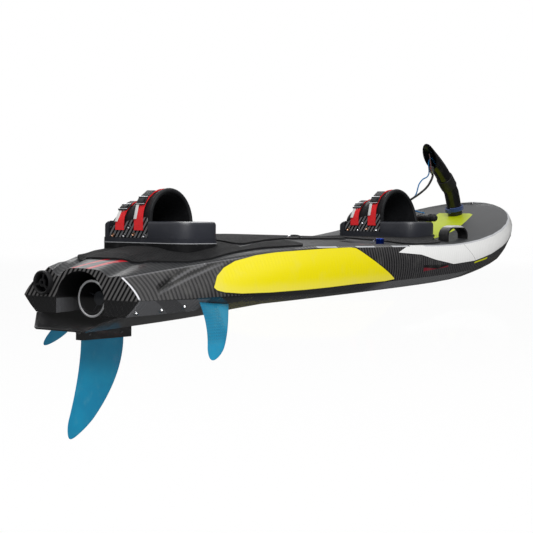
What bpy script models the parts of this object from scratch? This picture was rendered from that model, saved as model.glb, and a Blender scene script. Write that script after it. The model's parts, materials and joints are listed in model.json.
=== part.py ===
"""Motor surfboard: a carbon hull with a hatch, a water jet, fins, foot bindings and a front pole.

Metres. +X is forward, +Y is port, +Z is up. The origin lies amidships on the centre line, at the
height of the chine at the stern, which is about where the water reaches when the board floats.
"""
import math

import bmesh
import bpy
from mathutils import Matrix, Vector

# Clearances
TOUCH = 0.0003
HATCH_GAP = 0.0025
SHAFT_PLAY = 0.0003
BLADE_TIP_GAP = 0.005

# Hull
LENGTH = 1.80
HALF_BEAM = 0.301
TRANSOM_HALF_BEAM = 0.179
WIDEST_AT = 0.18
NOSE_FULLNESS = 2.97
CHINE_FULLNESS = 2.40
TAIL_FULLNESS = 2.2
CREST_TAIL_POWER = 1.3
BEVEL_MIDDLE = 0.45
RIM_SHARE = 0.65
RIM_LIFT = 0.0008
TAIL_CROWDING = 1.15
NOSE_REACH = 0.9995
BOTTOM_AT_STERN = -0.038
BOTTOM_SLOPE = 0.040
BOW_LIFT = 0.150
BOW_CURVE = 4.41
CHINE_RISE = 0.028
CHINE_RISE_STERN = 0.010
FLAT_BOTTOM_SHARE = 0.78
CREST_Z = 0.115
CREST_NOSE_RISE = 0.128
CREST_TAIL_DROP = 0.063
CREST_TAIL_LENGTH = 0.55
CREST_LEAN = 0.30
CREST_LEAN_SHARE = 0.72
SIDE_BULGE = 0.007
NOSE_BULGE = 0.0152
CREST_LIP = 0.012
DECK_ROUNDNESS = 2.4
CROWN = ((0.0, 0.014), (0.055, 0.030), (0.167, 0.029), (0.333, 0.022), (0.694, 0.009), (0.84, -0.004),
         (1.0, -0.006))
TAIL_RELIEF = ((0.068, 0.016, -0.018), (0.112, 0.022, 0.014), (-0.088, 0.016, -0.010))
TAIL_RELIEF_LENGTH = 0.30

# Tunnel, pump and exhaust at the stern
JET_Z = -0.004
TUNNEL_HALF_WIDTH = 0.074
TUNNEL_TOP = 0.060
TUNNEL_LENGTH = 0.19
NOZZLE_OVERHANG = -0.038
NOZZLE_RADIUS = 0.0415
NOZZLE_WALL = 0.0035
NOZZLE_LIP = 0.002
PUMP_TUBE_LENGTH = 0.120
BULKHEAD_THICKNESS = 0.008
BULKHEAD_SIDE_GAP = 0.0025
HUB_RADIUS = 0.016
GRATE_SETBACK = 0.12
BLADE_THICKNESS = 0.003
IMPELLER_BLADES = 4
STATOR_VANES = 5
BLADE_SWEEP = math.radians(75)
SHAFT_RADIUS = 0.006
SHAFT_BORE_DEPTH = 0.030
POD_OVERHANG = 0.062
POD_TOP_OVERHANG = -0.018
POD_HALF_BOTTOM = 0.075
POD_REAR_Z = -0.072
POD_LENGTH = 0.60
POD_STRAIGHT_SHARE = 0.55
POD_WALL = 0.005
CHANNEL_RISE = 0.004
GRATE_LENGTH = 0.16
GRATE_HALF_WIDTH = 0.045
GRATE_BARS = 5
GRATE_CORNER = 0.006
EXHAUST_Y = 0.112
EXHAUST_Z = 0.030
EXHAUST_RADIUS = 0.028
EXHAUST_DEPTH = 0.10
EXHAUST_SPOKES = 3

# Fins
FIN_BOX_LENGTH = 0.164
FIN_BOX_WIDTH = 0.024
FIN_BOX_BOTTOM = -0.096
REAR_FIN_CHORD = 0.141
REAR_FIN_DEPTH = 0.224
REAR_FIN_RAKE = 0.177
REAR_FIN_THICKNESS = 0.010
REAR_FIN_THINNING = 0.6
REAR_FIN_SETBACK = 0.016
REAR_FIN_LEADING_POWER = 2.22
REAR_FIN_TRAILING_POWER = 2.0
FIN_TIP_SHARE = 0.985
FOIL_FULLNESS = 1.3
FOIL_EDGE_HALF = 0.0006
SIDE_FIN_X = -0.642
SIDE_FIN_CHORD = 0.123
SIDE_FIN_DEPTH = 0.108
SIDE_FIN_Y = 0.215
SIDE_FIN_CANT = 0.050
SIDE_FIN_THICKNESS = 0.009
SIDE_FIN_THINNING = 0.5
SIDE_FIN_LEAN = 0.030
SIDE_FIN_TIP_SWEEP = 0.080
SIDE_FIN_HOLLOW = 0.034

# Hatch and engine bay
HATCH_REAR = -0.530
HATCH_FRONT = -0.030
HATCH_HALF_WIDTH = 0.165
HATCH_CORNER = 0.040
HATCH_THICKNESS = 0.012
LEDGE = 0.014
BAY_FLOOR = 0.006
ENGINE_LENGTH = 0.330
ENGINE_WIDTH = 0.220
ENGINE_HEIGHT = 0.085

# Deck pads
PAD_THICKNESS = 0.004
PAD_INSET = 0.012
PAD_HATCH_GAP = 0.006
HATCH_PAD_CORNER = 0.030
REAR_PAD_EDGE = ((-0.838, 0.020), (-0.830, 0.056), (-0.809, 0.098), (-0.771, 0.128), (-0.718, 0.165),
                 (-0.660, 0.183), (-0.600, 0.184), (-0.556, 0.188), (-0.492, 0.200), (-0.443, 0.217),
                 (-0.400, 0.232), (-0.374, 0.237), (-0.360, 0.228), (-0.358, 0.205), (-0.364, 0.185))
FRONT_PAD_EDGE = ((0.008, 0.060), (0.012, 0.150), (0.038, 0.225), (0.048, 0.265), (0.075, 0.281),
                  (0.141, 0.275), (0.210, 0.266), (0.252, 0.256), (0.285, 0.240), (0.296, 0.205),
                  (0.340, 0.188), (0.384, 0.157), (0.440, 0.130), (0.490, 0.080))

# Bindings
REAR_BINDING_X = -0.630
FRONT_BINDING_X = 0.380
BINDING_LENGTH = 0.274
BINDING_WIDTH = 0.145
REAR_BUMPER_HEIGHT = 0.050
FRONT_BUMPER_HEIGHT = 0.040
BUMPER_ROUND = 0.007
BUMPER_WALL = 0.020
BUMPER_CORNER = 0.045
TOE_CORNER_SHARE = 0.65
SOLE_THICKNESS = 0.010
TOE_BUMPER_LENGTH = 0.036
TOE_SLOPE_LENGTH = 0.034
TOE_SLOPE_DROP = 0.016
BRACKET_LENGTH = 0.125
BRACKET_THICKNESS = 0.003
REAR_ARCH_TOP = 0.128
FRONT_ARCH_TOP = 0.134
REAR_ARCH_SWEEP = 0.030
FRONT_ARCH_SWEEP = 0.055
ARCH_THICKNESS = 0.010
ARCH_TOE_DROP = 0.50
ARCH_WALL_SHARE = 0.42
ARCH_MARGIN = 0.03
STRAP_WIDTH = 0.026
STRAP_THICKNESS = 0.003

# Pole, cords and deck fittings
POLE_RADIUS = 0.023
POLE_WALL = 0.003
POLE_FOOT = (0.796, 0.180)
POLE_LOW = (0.764, 0.268)
POLE_HIGH = (0.735, 0.299)
POLE_NECK = (0.676, 0.348)
POLE_END = (0.580, 0.404)
SLEEVE_START = 0.375
SLEEVE_END = 0.500
HOLLOW_START = 0.56
MOUTH_AT = 0.84
MOUTH_LEAN = math.radians(29.5)
SLEEVE_WALL = 0.003
SLEEVE_JOINT_SHARE = 0.001
CABLE_DIAMETER = 0.007
TETHER_DIAMETER = 0.004
COLLAR_RADIUS = 0.0075
COLLAR_LENGTH = 0.022
COLLAR_TILT = math.radians(12)
COLLAR_GAP = 0.002
GUIDE_RADIUS = 0.0022
GUIDE_LENGTH = 0.040
GRIP_RADIUS = 0.012
GRIP_LENGTH = 0.075
GRIP_Y = -0.088
GRIP_OVERHANG = 0.003
GRIP_TOWARD = (-0.47, -0.88, 0.0)
ROPE_RADIUS = 0.003
ROPE_AT = 0.13
HANDLE_X = 0.365
HANDLE_Y = -0.235
HANDLE_SPAN = 0.115
HANDLE_HEIGHT = 0.042
HANDLE_WIDTH = 0.030
HANDLE_THICKNESS = 0.006
CAP_X = -0.002
CAP_Y = -0.222
CAP_RADIUS = 0.011
CAP_HEIGHT = 0.010
RECESS_REAR = -0.150
RECESS_FRONT = 0.020
RECESS_INNER = 0.182
RECESS_OUTER = 0.252
RECESS_DEPTH = 0.006
RECESS_CORNER = 0.016
LATCH_X = -0.275
LATCH_Y = 0.139
LATCH_LENGTH = 0.084
LATCH_WIDTH = 0.022
LATCH_RISE = 0.0035
LATCH_BAR = 0.005
LATCH_MARGIN = 0.0015

STERN = -LENGTH / 2
BOW = LENGTH / 2


def clear_scene():
    for item in list(bpy.data.objects):
        bpy.data.objects.remove(item)


def finish(name, color, roughness, metallic=0.0):
    surface = bpy.data.materials.new(name)
    surface.use_nodes = True
    shader = surface.node_tree.nodes["Principled BSDF"]
    shader.inputs["Base Color"].default_value = (*color, 1.0)
    shader.inputs["Roughness"].default_value = roughness
    shader.inputs["Metallic"].default_value = metallic
    surface.diffuse_color = (*color, 1.0)
    return surface


def carbon():
    return finish("carbon", (0.020, 0.020, 0.022), 0.25)


def rubber():
    return finish("rubber", (0.045, 0.047, 0.052), 0.55)


def black_plastic():
    return finish("black_plastic", (0.015, 0.015, 0.017), 0.40)


def foam():
    return finish("foam", (0.020, 0.020, 0.021), 0.90)


def steel():
    return finish("steel", (0.60, 0.60, 0.62), 0.25, 1.0)


def blue_plastic():
    return finish("blue_plastic", (0.010, 0.270, 0.480), 0.35)


def red_webbing():
    return finish("red_webbing", (0.700, 0.020, 0.030), 0.75)


def add_object(name, shape, surface=None):
    bmesh.ops.recalc_face_normals(shape, faces=shape.faces)
    mesh = bpy.data.meshes.new(name)
    shape.to_mesh(mesh)
    shape.free()
    thing = bpy.data.objects.new(name, mesh)
    bpy.context.collection.objects.link(thing)
    if surface:
        mesh.materials.append(surface)
        mesh.shade_smooth()
        mesh.set_sharp_from_angle(angle=math.radians(32))
    return thing


def hide(guide):
    guide.hide_render = True
    guide.display_type = "WIRE"
    return guide


def combine(target, tool, operation):
    """Cut, join or intersect target with a hidden tool object."""
    step = target.modifiers.new(operation.lower(), "BOOLEAN")
    step.operation = operation
    step.solver = "EXACT"
    step.object = tool
    return hide(tool)


def join_solids(target, *tools):
    for tool in tools:
        combine(target, tool, "UNION")
    return target


def loft(rings):
    """A closed solid through rings that all have the same number of points."""
    shape = bmesh.new()
    first = shape.faces.new([shape.verts.new(place) for place in rings[0]])
    face = first
    for ring in rings[1:]:
        made = bmesh.ops.extrude_face_region(shape, geom=[face])["geom"]
        if face is not first:
            bmesh.ops.delete(shape, geom=[face], context="FACES_ONLY")
        face = next(item for item in made if isinstance(item, bmesh.types.BMFace))
        for vert, place in zip(face.verts, ring):
            vert.co = place
    return shape


def prism(outline, low, high):
    """An outline of (x, y) points raised from low to high."""
    return loft([[(x, y, z) for x, y in outline] for z in (low, high)])


def slab(outline, y_low, y_high):
    """An outline of (x, z) points drawn across the board from y_low to y_high."""
    return loft([[(x, y, z) for x, z in outline] for y in (y_low, y_high)])


def circle(radius, count, centre=(0.0, 0.0), start=0.0):
    turn = [start + 2 * math.pi * step / count for step in range(count)]
    return [(centre[0] + radius * math.cos(a), centre[1] + radius * math.sin(a)) for a in turn]


def rounded_rectangle(x_low, x_high, y_low, y_high, radius, steps=5):
    corners = ((x_high - radius, y_high - radius, 0), (x_low + radius, y_high - radius, 90),
               (x_low + radius, y_low + radius, 180), (x_high - radius, y_low + radius, 270))
    outline = []
    for x, y, start in corners:
        for step in range(steps + 1):
            angle = math.radians(start + 90 * step / steps)
            outline.append((x + radius * math.cos(angle), y + radius * math.sin(angle)))
    return outline


def spin_about_x(profile, count):
    """A ring turned about the X axis from a closed profile of (x, radius) points."""
    shape = bmesh.new()
    verts = [shape.verts.new((x, 0, r)) for x, r in profile]
    edges = [shape.edges.new((verts[i], verts[(i + 1) % len(verts)])) for i in range(len(verts))]
    bmesh.ops.spin(shape, geom=verts + edges, cent=(0, 0, 0), axis=(1, 0, 0), angle=2 * math.pi,
                   steps=count, use_merge=True)
    bmesh.ops.remove_doubles(shape, verts=shape.verts, dist=0.00001)
    return shape


def rod_along_x(radius, x_low, x_high, count):
    return loft([[(x, y, z) for y, z in circle(radius, count)] for x in (x_low, x_high)])


def frame_along(direction, side=(0, 1, 0)):
    """Two directions square to a path's direction."""
    ahead = Vector(direction).normalized()
    across = Vector(side)
    across = (across - ahead * across.dot(ahead)).normalized()
    return across, ahead.cross(across)


def tube_rings(points, radii, count, ways):
    """Circles square to a path, given its points and its direction at each."""
    rings = []
    for point, radius, way in zip(points, radii, ways):
        across, upward = frame_along(way)
        rings.append([Vector(point) + across * a + upward * b for a, b in circle(radius, count)])
    return rings


def smooth_table(value, table):
    """A smooth curve through (place, height) pairs."""
    value = min(max(value, table[0][0]), table[-1][0])
    index = max(i for i in range(len(table) - 1) if table[i][0] <= value)
    places = [p for p, _ in table]
    heights = [h for _, h in table]

    def slope(i):
        low, high = max(i - 1, 0), min(i + 1, len(table) - 1)
        return (heights[high] - heights[low]) / (places[high] - places[low])
    span = places[index + 1] - places[index]
    t = (value - places[index]) / span
    return ((2 * t**3 - 3 * t**2 + 1) * heights[index] + (t**3 - 2 * t**2 + t) * span * slope(index)
            + (3 * t**2 - 2 * t**3) * heights[index + 1] + (t**3 - t**2) * span * slope(index + 1))


def smooth_path(route, count):
    """Points along a smooth curve through the route's own points."""
    knots = [Vector(point) for point in route]
    knots = [2 * knots[0] - knots[1]] + knots + [2 * knots[-1] - knots[-2]]
    fine = []
    for a, b, c, d in zip(knots, knots[1:], knots[2:], knots[3:]):
        for step in range(24):
            t = step / 24
            fine.append(0.5 * (2 * b + (c - a) * t + (2 * a - 5 * b + 4 * c - d) * t**2
                               + (3 * b - a - 3 * c + d) * t**3))
    fine.append(knots[-2])
    walked = [0.0]
    for one, two in zip(fine, fine[1:]):
        walked.append(walked[-1] + (two - one).length)
    points = []
    for step in range(count):
        goal = walked[-1] * step / (count - 1)
        index = next((i for i in range(len(fine) - 1) if walked[i + 1] >= goal), len(fine) - 2)
        part = (goal - walked[index]) / max(walked[index + 1] - walked[index], 1e-9)
        points.append(fine[index].lerp(fine[index + 1], min(part, 1.0)))
    return points


def share(x):
    """How far along the board x lies, from 0 at the stern to 1 at the bow."""
    return (x - STERN) / LENGTH


def nose_reach(x):
    """How far ahead of the widest place x lies, from 0 there and behind it to 1 at the bow."""
    return min(max((x - WIDEST_AT) / (BOW - WIDEST_AT), 0.0), 1.0)


def half_beam(x):
    if x > WIDEST_AT:
        return HALF_BEAM * math.sqrt(1 - nose_reach(x)**NOSE_FULLNESS)
    reach = (WIDEST_AT - x) / (WIDEST_AT - STERN)
    return TRANSOM_HALF_BEAM + (HALF_BEAM - TRANSOM_HALF_BEAM) * (1 - reach**TAIL_FULLNESS)


def bottom_z(x):
    bow = max(x / BOW, 0.0)
    return BOTTOM_AT_STERN + BOTTOM_SLOPE * (x - STERN) + BOW_LIFT * bow**BOW_CURVE


def chine_z(x):
    return bottom_z(x) + CHINE_RISE + CHINE_RISE_STERN * (1 - share(x))**6


def chine_y(x):
    if x > WIDEST_AT:
        return HALF_BEAM * math.sqrt(1 - nose_reach(x)**CHINE_FULLNESS)
    return half_beam(x)


def crest_z(x):
    if x > WIDEST_AT:
        return CREST_Z + CREST_NOSE_RISE * nose_reach(x)**2
    behind = (STERN + CREST_TAIL_LENGTH - x) / CREST_TAIL_LENGTH
    return CREST_Z - CREST_TAIL_DROP * max(behind, 0.0)**CREST_TAIL_POWER


def crest_y(x):
    """The crest leans in at the stern and reaches the full beam from the front binding on."""
    inward = 1 - min(share(x) / CREST_LEAN_SHARE, 1.0)
    return half_beam(x) * (1 - CREST_LEAN * inward**3)


def tail_relief(x, y):
    """The humps over the tunnel and the exhaust and the valleys beside them, which fade out ahead."""
    fade = max(1 - (x - STERN) / TAIL_RELIEF_LENGTH, 0.0)**1.5
    return fade * sum(rise * math.exp(-((y - place) / width)**2) for place, width, rise in TAIL_RELIEF)


def deck_z(x, y):
    edge = max(crest_y(x) - CREST_LIP, 0.001)
    reach = min(abs(y) / edge, 1.0)
    return crest_z(x) + smooth_table(share(x), CROWN) * (1 - reach**DECK_ROUNDNESS) + tail_relief(x, y)


def half_section(x, side):
    """Points from the middle of the bottom round to the middle of the deck."""
    flat = FLAT_BOTTOM_SHARE * chine_y(x)
    low, corner = bottom_z(x), chine_z(x)
    points = [(flat * step / 3, low) for step in range(4)]
    points.append(((flat + chine_y(x)) / 2, low + BEVEL_MIDDLE * (corner - low)))
    for step in range(6):
        t = step / 5
        bulge = (SIDE_BULGE + NOSE_BULGE * nose_reach(x)**2) * math.sin(math.pi * t)
        bulge *= min(1.0, (crest_z(x) - corner) / 0.06)
        points.append((chine_y(x) + (crest_y(x) - chine_y(x)) * t + bulge,
                       corner + (crest_z(x) - CREST_LIP * 0.25 - corner) * t))
    edge = max(crest_y(x) - CREST_LIP, 0.4 * crest_y(x))
    points.append((crest_y(x) * (1 - RIM_SHARE) + edge * RIM_SHARE, crest_z(x) + RIM_LIFT))
    for step in range(1, 10):
        y = edge * (1 - step / 9)
        points.append((y, deck_z(x, side * y)))
    return [(side * y, z) for y, z in points]


def section(x):
    starboard = half_section(x, -1)
    port = half_section(x, 1)
    return starboard + port[::-1][1:-1]


def hull_form(name, lift):
    """The board's outer form, raised by lift, to cut or to fit pieces with."""
    tail = [STERN + (WIDEST_AT - STERN) * (step / 16)**TAIL_CROWDING for step in range(16)]
    nose = [WIDEST_AT + (BOW - WIDEST_AT) * math.sin(math.asin(NOSE_REACH) * step / 13) for step in range(14)]
    rings = [[(x, y, z + lift) for y, z in section(x)] for x in tail + nose]
    form = loft(rings)
    bmesh.ops.triangulate(form, faces=form.faces, quad_method="FIXED", ngon_method="EAR_CLIP")
    return add_object(name, form)


def hatch_outline(inset):
    return rounded_rectangle(HATCH_REAR + inset, HATCH_FRONT - inset, -HATCH_HALF_WIDTH + inset,
                             HATCH_HALF_WIDTH - inset, HATCH_CORNER - inset, 6)


def arch_outline(half_width, foot, top, count=14):
    """A round-topped opening of (y, z) points, wide at its foot."""
    height = top - JET_Z
    points = [(half_width, foot)]
    for step in range(count + 1):
        angle = math.pi * step / count
        points.append((half_width * math.cos(angle), JET_Z + height * math.sin(angle)))
    points.append((-half_width, foot))
    return points


def pod_bottom(x):
    """The pod's floor, nearly straight from its rear edge and curving up to the hull's bottom in front."""
    rear = STERN - POD_OVERHANG
    reach = min(max((x - rear) / POD_LENGTH, 0.0), 1.0)
    rise = bottom_z(rear + POD_LENGTH) - 0.003 - POD_REAR_Z
    return POD_REAR_Z + rise * (POD_STRAIGHT_SHARE * reach + (1 - POD_STRAIGHT_SHARE) * reach**4)


def build_hull():
    hull = hull_form("hull", 0.0)
    hull.data.materials.append(carbon())
    hull.data.shade_smooth()
    hull.data.set_sharp_from_angle(angle=math.radians(32))
    rebate = add_object("cut_hatch_rebate", prism(hatch_outline(0), BAY_FLOOR, CREST_Z + 0.1))
    combine(rebate, hull_form("guide_ledge", -HATCH_THICKNESS - TOUCH), "DIFFERENCE")
    combine(hull, rebate, "DIFFERENCE")
    bay = prism(hatch_outline(LEDGE), BAY_FLOOR, CREST_Z + 0.1)
    combine(hull, add_object("cut_engine_bay", bay), "DIFFERENCE")
    recess = rounded_rectangle(RECESS_REAR, RECESS_FRONT, -RECESS_OUTER, -RECESS_INNER, RECESS_CORNER)
    recess = add_object("cut_cap_recess", prism(recess, BAY_FLOOR, CREST_Z + 0.1))
    combine(recess, hull_form("guide_recess_floor", -RECESS_DEPTH), "DIFFERENCE")
    combine(hull, recess, "DIFFERENCE")
    arch = arch_outline(TUNNEL_HALF_WIDTH, BOTTOM_AT_STERN - 0.05, TUNNEL_TOP)
    front = STERN + TUNNEL_LENGTH
    tunnel = loft([[(x, y, z) for y, z in arch] for x in (STERN - 0.05, front)])
    combine(hull, add_object("cut_tunnel", tunnel), "DIFFERENCE")
    pipe = loft([[(x, y, z) for y, z in circle(EXHAUST_RADIUS * 0.8, 20, (EXHAUST_Y, EXHAUST_Z))]
                 for x in (STERN - 0.05, STERN + EXHAUST_DEPTH)])
    combine(hull, add_object("cut_exhaust", pipe), "DIFFERENCE")
    shaft = rod_along_x(SHAFT_RADIUS + SHAFT_PLAY, front - 0.02, front + SHAFT_BORE_DEPTH + 0.004, 24)
    bmesh.ops.translate(shaft, verts=shaft.verts, vec=(0, 0, JET_Z))
    combine(hull, add_object("cut_shaft", shaft), "DIFFERENCE")
    return hull


def deck_piece(name, outline, under, over, surface):
    """A thin piece with the given outline that follows the deck's curve."""
    piece = add_object(name, prism(outline, 0.0, CREST_Z + CREST_NOSE_RISE + 0.1), surface)
    combine(piece, hull_form("guide_top_of_" + name, over), "INTERSECT")
    combine(piece, hull_form("guide_under_" + name, under), "DIFFERENCE")
    return piece


def build_hatch():
    deck_piece("hatch_lid", hatch_outline(HATCH_GAP), -HATCH_THICKNESS, 0.0, carbon())
    outline = rounded_rectangle(HATCH_REAR + PAD_INSET, HATCH_FRONT - PAD_INSET,
                                -HATCH_HALF_WIDTH + PAD_INSET, HATCH_HALF_WIDTH - PAD_INSET, HATCH_PAD_CORNER)
    pad = deck_piece("hatch_pad", outline, TOUCH, PAD_THICKNESS, foam())
    margin = LATCH_WIDTH / 2 + LATCH_MARGIN
    for place, side in (("port", 1), ("starboard", -1)):
        low, high = sorted((side * (LATCH_Y - margin), side * (LATCH_Y + margin)))
        reach = LATCH_LENGTH / 2 + LATCH_MARGIN
        hole = rounded_rectangle(LATCH_X - reach, LATCH_X + reach,
                                 low, high, margin * 0.98, 6)
        room = add_object(f"cut_{place}_latch_room", prism(hole, BAY_FLOOR, CREST_Z + 0.1))
        combine(pad, room, "DIFFERENCE")


def mirrored(half):
    """Close an outline whose port half is given from its rear to its front."""
    return half + [(x, -y) for x, y in reversed(half)]


def build_pads():
    beside = HATCH_HALF_WIDTH + PAD_HATCH_GAP
    behind = HATCH_REAR - PAD_HATCH_GAP
    rear_half = [*REAR_PAD_EDGE, (REAR_PAD_EDGE[-1][0], beside), (behind, beside)]
    deck_piece("rear_deck_pad", mirrored(rear_half), TOUCH, PAD_THICKNESS, foam())
    deck_piece("front_deck_pad", mirrored(list(FRONT_PAD_EDGE)), TOUCH, PAD_THICKNESS, foam())


def build_engine():
    middle = (HATCH_REAR + HATCH_FRONT) / 2
    outline = rounded_rectangle(middle - ENGINE_LENGTH / 2, middle + ENGINE_LENGTH / 2,
                                -ENGINE_WIDTH / 2, ENGINE_WIDTH / 2, 0.020)
    block = prism(outline, BAY_FLOOR + TOUCH, BAY_FLOOR + ENGINE_HEIGHT)
    add_object("engine_block", block, finish("engine", (0.25, 0.25, 0.26), 0.5, 0.6))


def pod_section(x, inset):
    """Half-widths and heights of the pod at x: its floor and the edge that meets the hull."""
    reach = (x - STERN + POD_OVERHANG) / POD_LENGTH
    wide = FLAT_BOTTOM_SHARE * chine_y(x) - 0.004
    narrow = POD_HALF_BOTTOM + (wide - POD_HALF_BOTTOM) * 0.35 * max(reach, 0.0)**1.5
    return narrow - inset * 0.7, pod_bottom(x) + inset, wide - inset * 1.4, bottom_z(x) - TOUCH


def build_pod():
    """The open channel under the stern that the jet sits in, with its water intake and grate."""
    rear = STERN - POD_OVERHANG
    front = rear + POD_LENGTH

    def channel(places, inset, rise):
        rings = []
        for x in places:
            narrow, low, wide, top = pod_section(x, inset)
            rings.append([(x, -wide, top + rise), (x, -narrow, low), (x, narrow, low), (x, wide, top + rise)])
        return rings
    places = [rear + POD_LENGTH * step / 10 for step in range(11)]
    pod = add_object("pump_pod", loft(channel(places, 0.0, 0.0)), black_plastic())
    grate_front = front - GRATE_SETBACK
    grate_rear = grate_front - GRATE_LENGTH
    inner = channel([rear - 0.05] + places[:7] + [grate_front], POD_WALL, CHANNEL_RISE)
    combine(pod, add_object("cut_pod_channel", loft(inner)), "DIFFERENCE")
    rake = [(rear - 0.05, POD_REAR_Z - 0.02), (rear - 0.0001, POD_REAR_Z - 0.02), (rear, POD_REAR_Z + 0.004),
            (STERN - POD_TOP_OVERHANG, bottom_z(STERN) + 0.01), (STERN - POD_TOP_OVERHANG, 0.05),
            (rear - 0.05, 0.05)]
    combine(pod, add_object("cut_pod_rake", slab(rake, -0.3, 0.3)), "DIFFERENCE")
    hole = rounded_rectangle(grate_rear, grate_front - 0.01, -GRATE_HALF_WIDTH, GRATE_HALF_WIDTH,
                             GRATE_CORNER, 3)
    combine(pod, add_object("cut_intake", prism(hole, -0.12, pod_bottom(grate_front) + POD_WALL + 0.001)),
            "DIFFERENCE")
    build_grate(grate_rear, grate_front - 0.01)


def build_grate(rear, front):
    """Bars along the water's way, joined by a cross bar at each end, inside the intake hole."""
    rear, front = rear + TOUCH, front - TOUCH
    shapes = []
    for index in range(GRATE_BARS):
        y = GRATE_HALF_WIDTH * (2 * (index + 0.5) / GRATE_BARS - 1)
        shapes.append((rear + 0.004, front - 0.004, y - 0.0015, y + 0.0015))
    edge = GRATE_HALF_WIDTH - GRATE_CORNER - TOUCH
    shapes += [(rear, rear + 0.005, -edge, edge), (front - 0.005, front, -edge, edge)]
    for index, (x_low, x_high, y_low, y_high) in enumerate(shapes):
        rings = []
        for x in (x_low, x_high):
            z = pod_bottom(x) + 0.0005
            rings.append([(x, y_low, z), (x, y_high, z), (x, y_high, z + 0.004), (x, y_low, z + 0.004)])
        if index == 0:
            grate = add_object("intake_grate", loft(rings), steel())
        else:
            join_solids(grate, add_object(f"tool_bar_{index}", loft(rings)))


def blade(x_low, x_high, inner, outer, angle, sweep, thickness, steps=6):
    """A vane that winds round the X axis from its inner to its outer radius."""
    rings = []
    for step in range(steps + 1):
        x = x_low + (x_high - x_low) * step / steps
        middle = angle + sweep * step / steps
        ring = []
        for radius, side in ((inner, -1), (outer, -1), (outer, 1), (inner, 1)):
            turn = middle + side * thickness / 2 / radius
            ring.append((x, radius * math.sin(turn), radius * math.cos(turn)))
        rings.append(ring)
    return loft(rings)


def build_jet():
    """The pump's tube in its bulkhead, its fixed vanes, and the impeller on its shaft."""
    rear = STERN - NOZZLE_OVERHANG
    front = rear + PUMP_TUBE_LENGTH
    bore = NOZZLE_RADIUS - NOZZLE_WALL
    lip = NOZZLE_RADIUS + NOZZLE_LIP
    profile = [(rear, bore), (rear - 0.001, (bore + lip) / 2), (rear, lip), (rear + 0.004, lip),
               (rear + 0.006, NOZZLE_RADIUS), (front, NOZZLE_RADIUS), (front, bore)]
    tube = add_object("jet_tube", spin_about_x(profile, 32), steel())
    tube.location.z = JET_Z

    plate_rear = front - BULKHEAD_THICKNESS
    rings = []
    for x in (plate_rear, front):
        narrow, low, wide, top = pod_section(x, POD_WALL)
        outline = arch_outline(TUNNEL_HALF_WIDTH - TOUCH * 2, top - TOUCH, TUNNEL_TOP - TOUCH * 2)
        wide -= (wide - narrow) * (CHANNEL_RISE + TOUCH) / (top + CHANNEL_RISE - low) + BULKHEAD_SIDE_GAP
        outline += [(-wide, top - TOUCH), (-narrow + BULKHEAD_SIDE_GAP, low + TOUCH * 2),
                    (narrow - BULKHEAD_SIDE_GAP, low + TOUCH * 2), (wide, top - TOUCH)]
        rings.append([(x, y, z) for y, z in outline])
    plate = loft(rings)
    bulkhead = add_object("pump_bulkhead", plate, black_plastic())
    seat = add_object("cut_tube_seat",
                      rod_along_x(NOZZLE_RADIUS + TOUCH * 2, plate_rear - 0.01, front + 0.01, 32))
    seat.location.z = JET_Z
    combine(bulkhead, seat, "DIFFERENCE")

    stator_rear = rear + 0.030
    stator_front = stator_rear + 0.028
    hub = rod_along_x(HUB_RADIUS, stator_rear - 0.006, stator_front + 0.002, 20)
    stator = add_object("stator", hub, steel())
    for index in range(STATOR_VANES):
        vane = blade(stator_rear, stator_front, HUB_RADIUS * 0.7, bore * math.cos(math.pi / 32) - TOUCH,
                     2 * math.pi * index / STATOR_VANES, math.radians(14), 0.003, 3)
        tool = add_object(f"tool_vane_{index}", vane)
        tool.location.z = JET_Z
        join_solids(stator, tool)
    bearing_rear = stator_rear + 0.010
    bearing = add_object("cut_bearing",
                         rod_along_x(SHAFT_RADIUS + SHAFT_PLAY, bearing_rear, stator_front + 0.05, 24))
    bearing.location.z = JET_Z
    combine(stator, bearing, "DIFFERENCE")
    stator.location.z = JET_Z

    blade_rear = stator_front + 0.008
    blade_front = blade_rear + 0.034
    impeller = add_object("impeller", rod_along_x(HUB_RADIUS, blade_rear, blade_front, 20), steel())
    shaft = add_object("tool_shaft", rod_along_x(SHAFT_RADIUS, bearing_rear + 0.003,
                                                 STERN + TUNNEL_LENGTH + SHAFT_BORE_DEPTH, 24))
    shaft.location.z = JET_Z
    join_solids(impeller, shaft)
    for index in range(IMPELLER_BLADES):
        turning = blade(blade_rear + 0.003, blade_front - 0.003, HUB_RADIUS * 0.8, bore - BLADE_TIP_GAP,
                        2 * math.pi * index / IMPELLER_BLADES, BLADE_SWEEP, BLADE_THICKNESS)
        tool = add_object(f"tool_blade_{index}", turning)
        tool.location.z = JET_Z
        join_solids(impeller, tool)
    impeller.location.z = JET_Z


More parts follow.
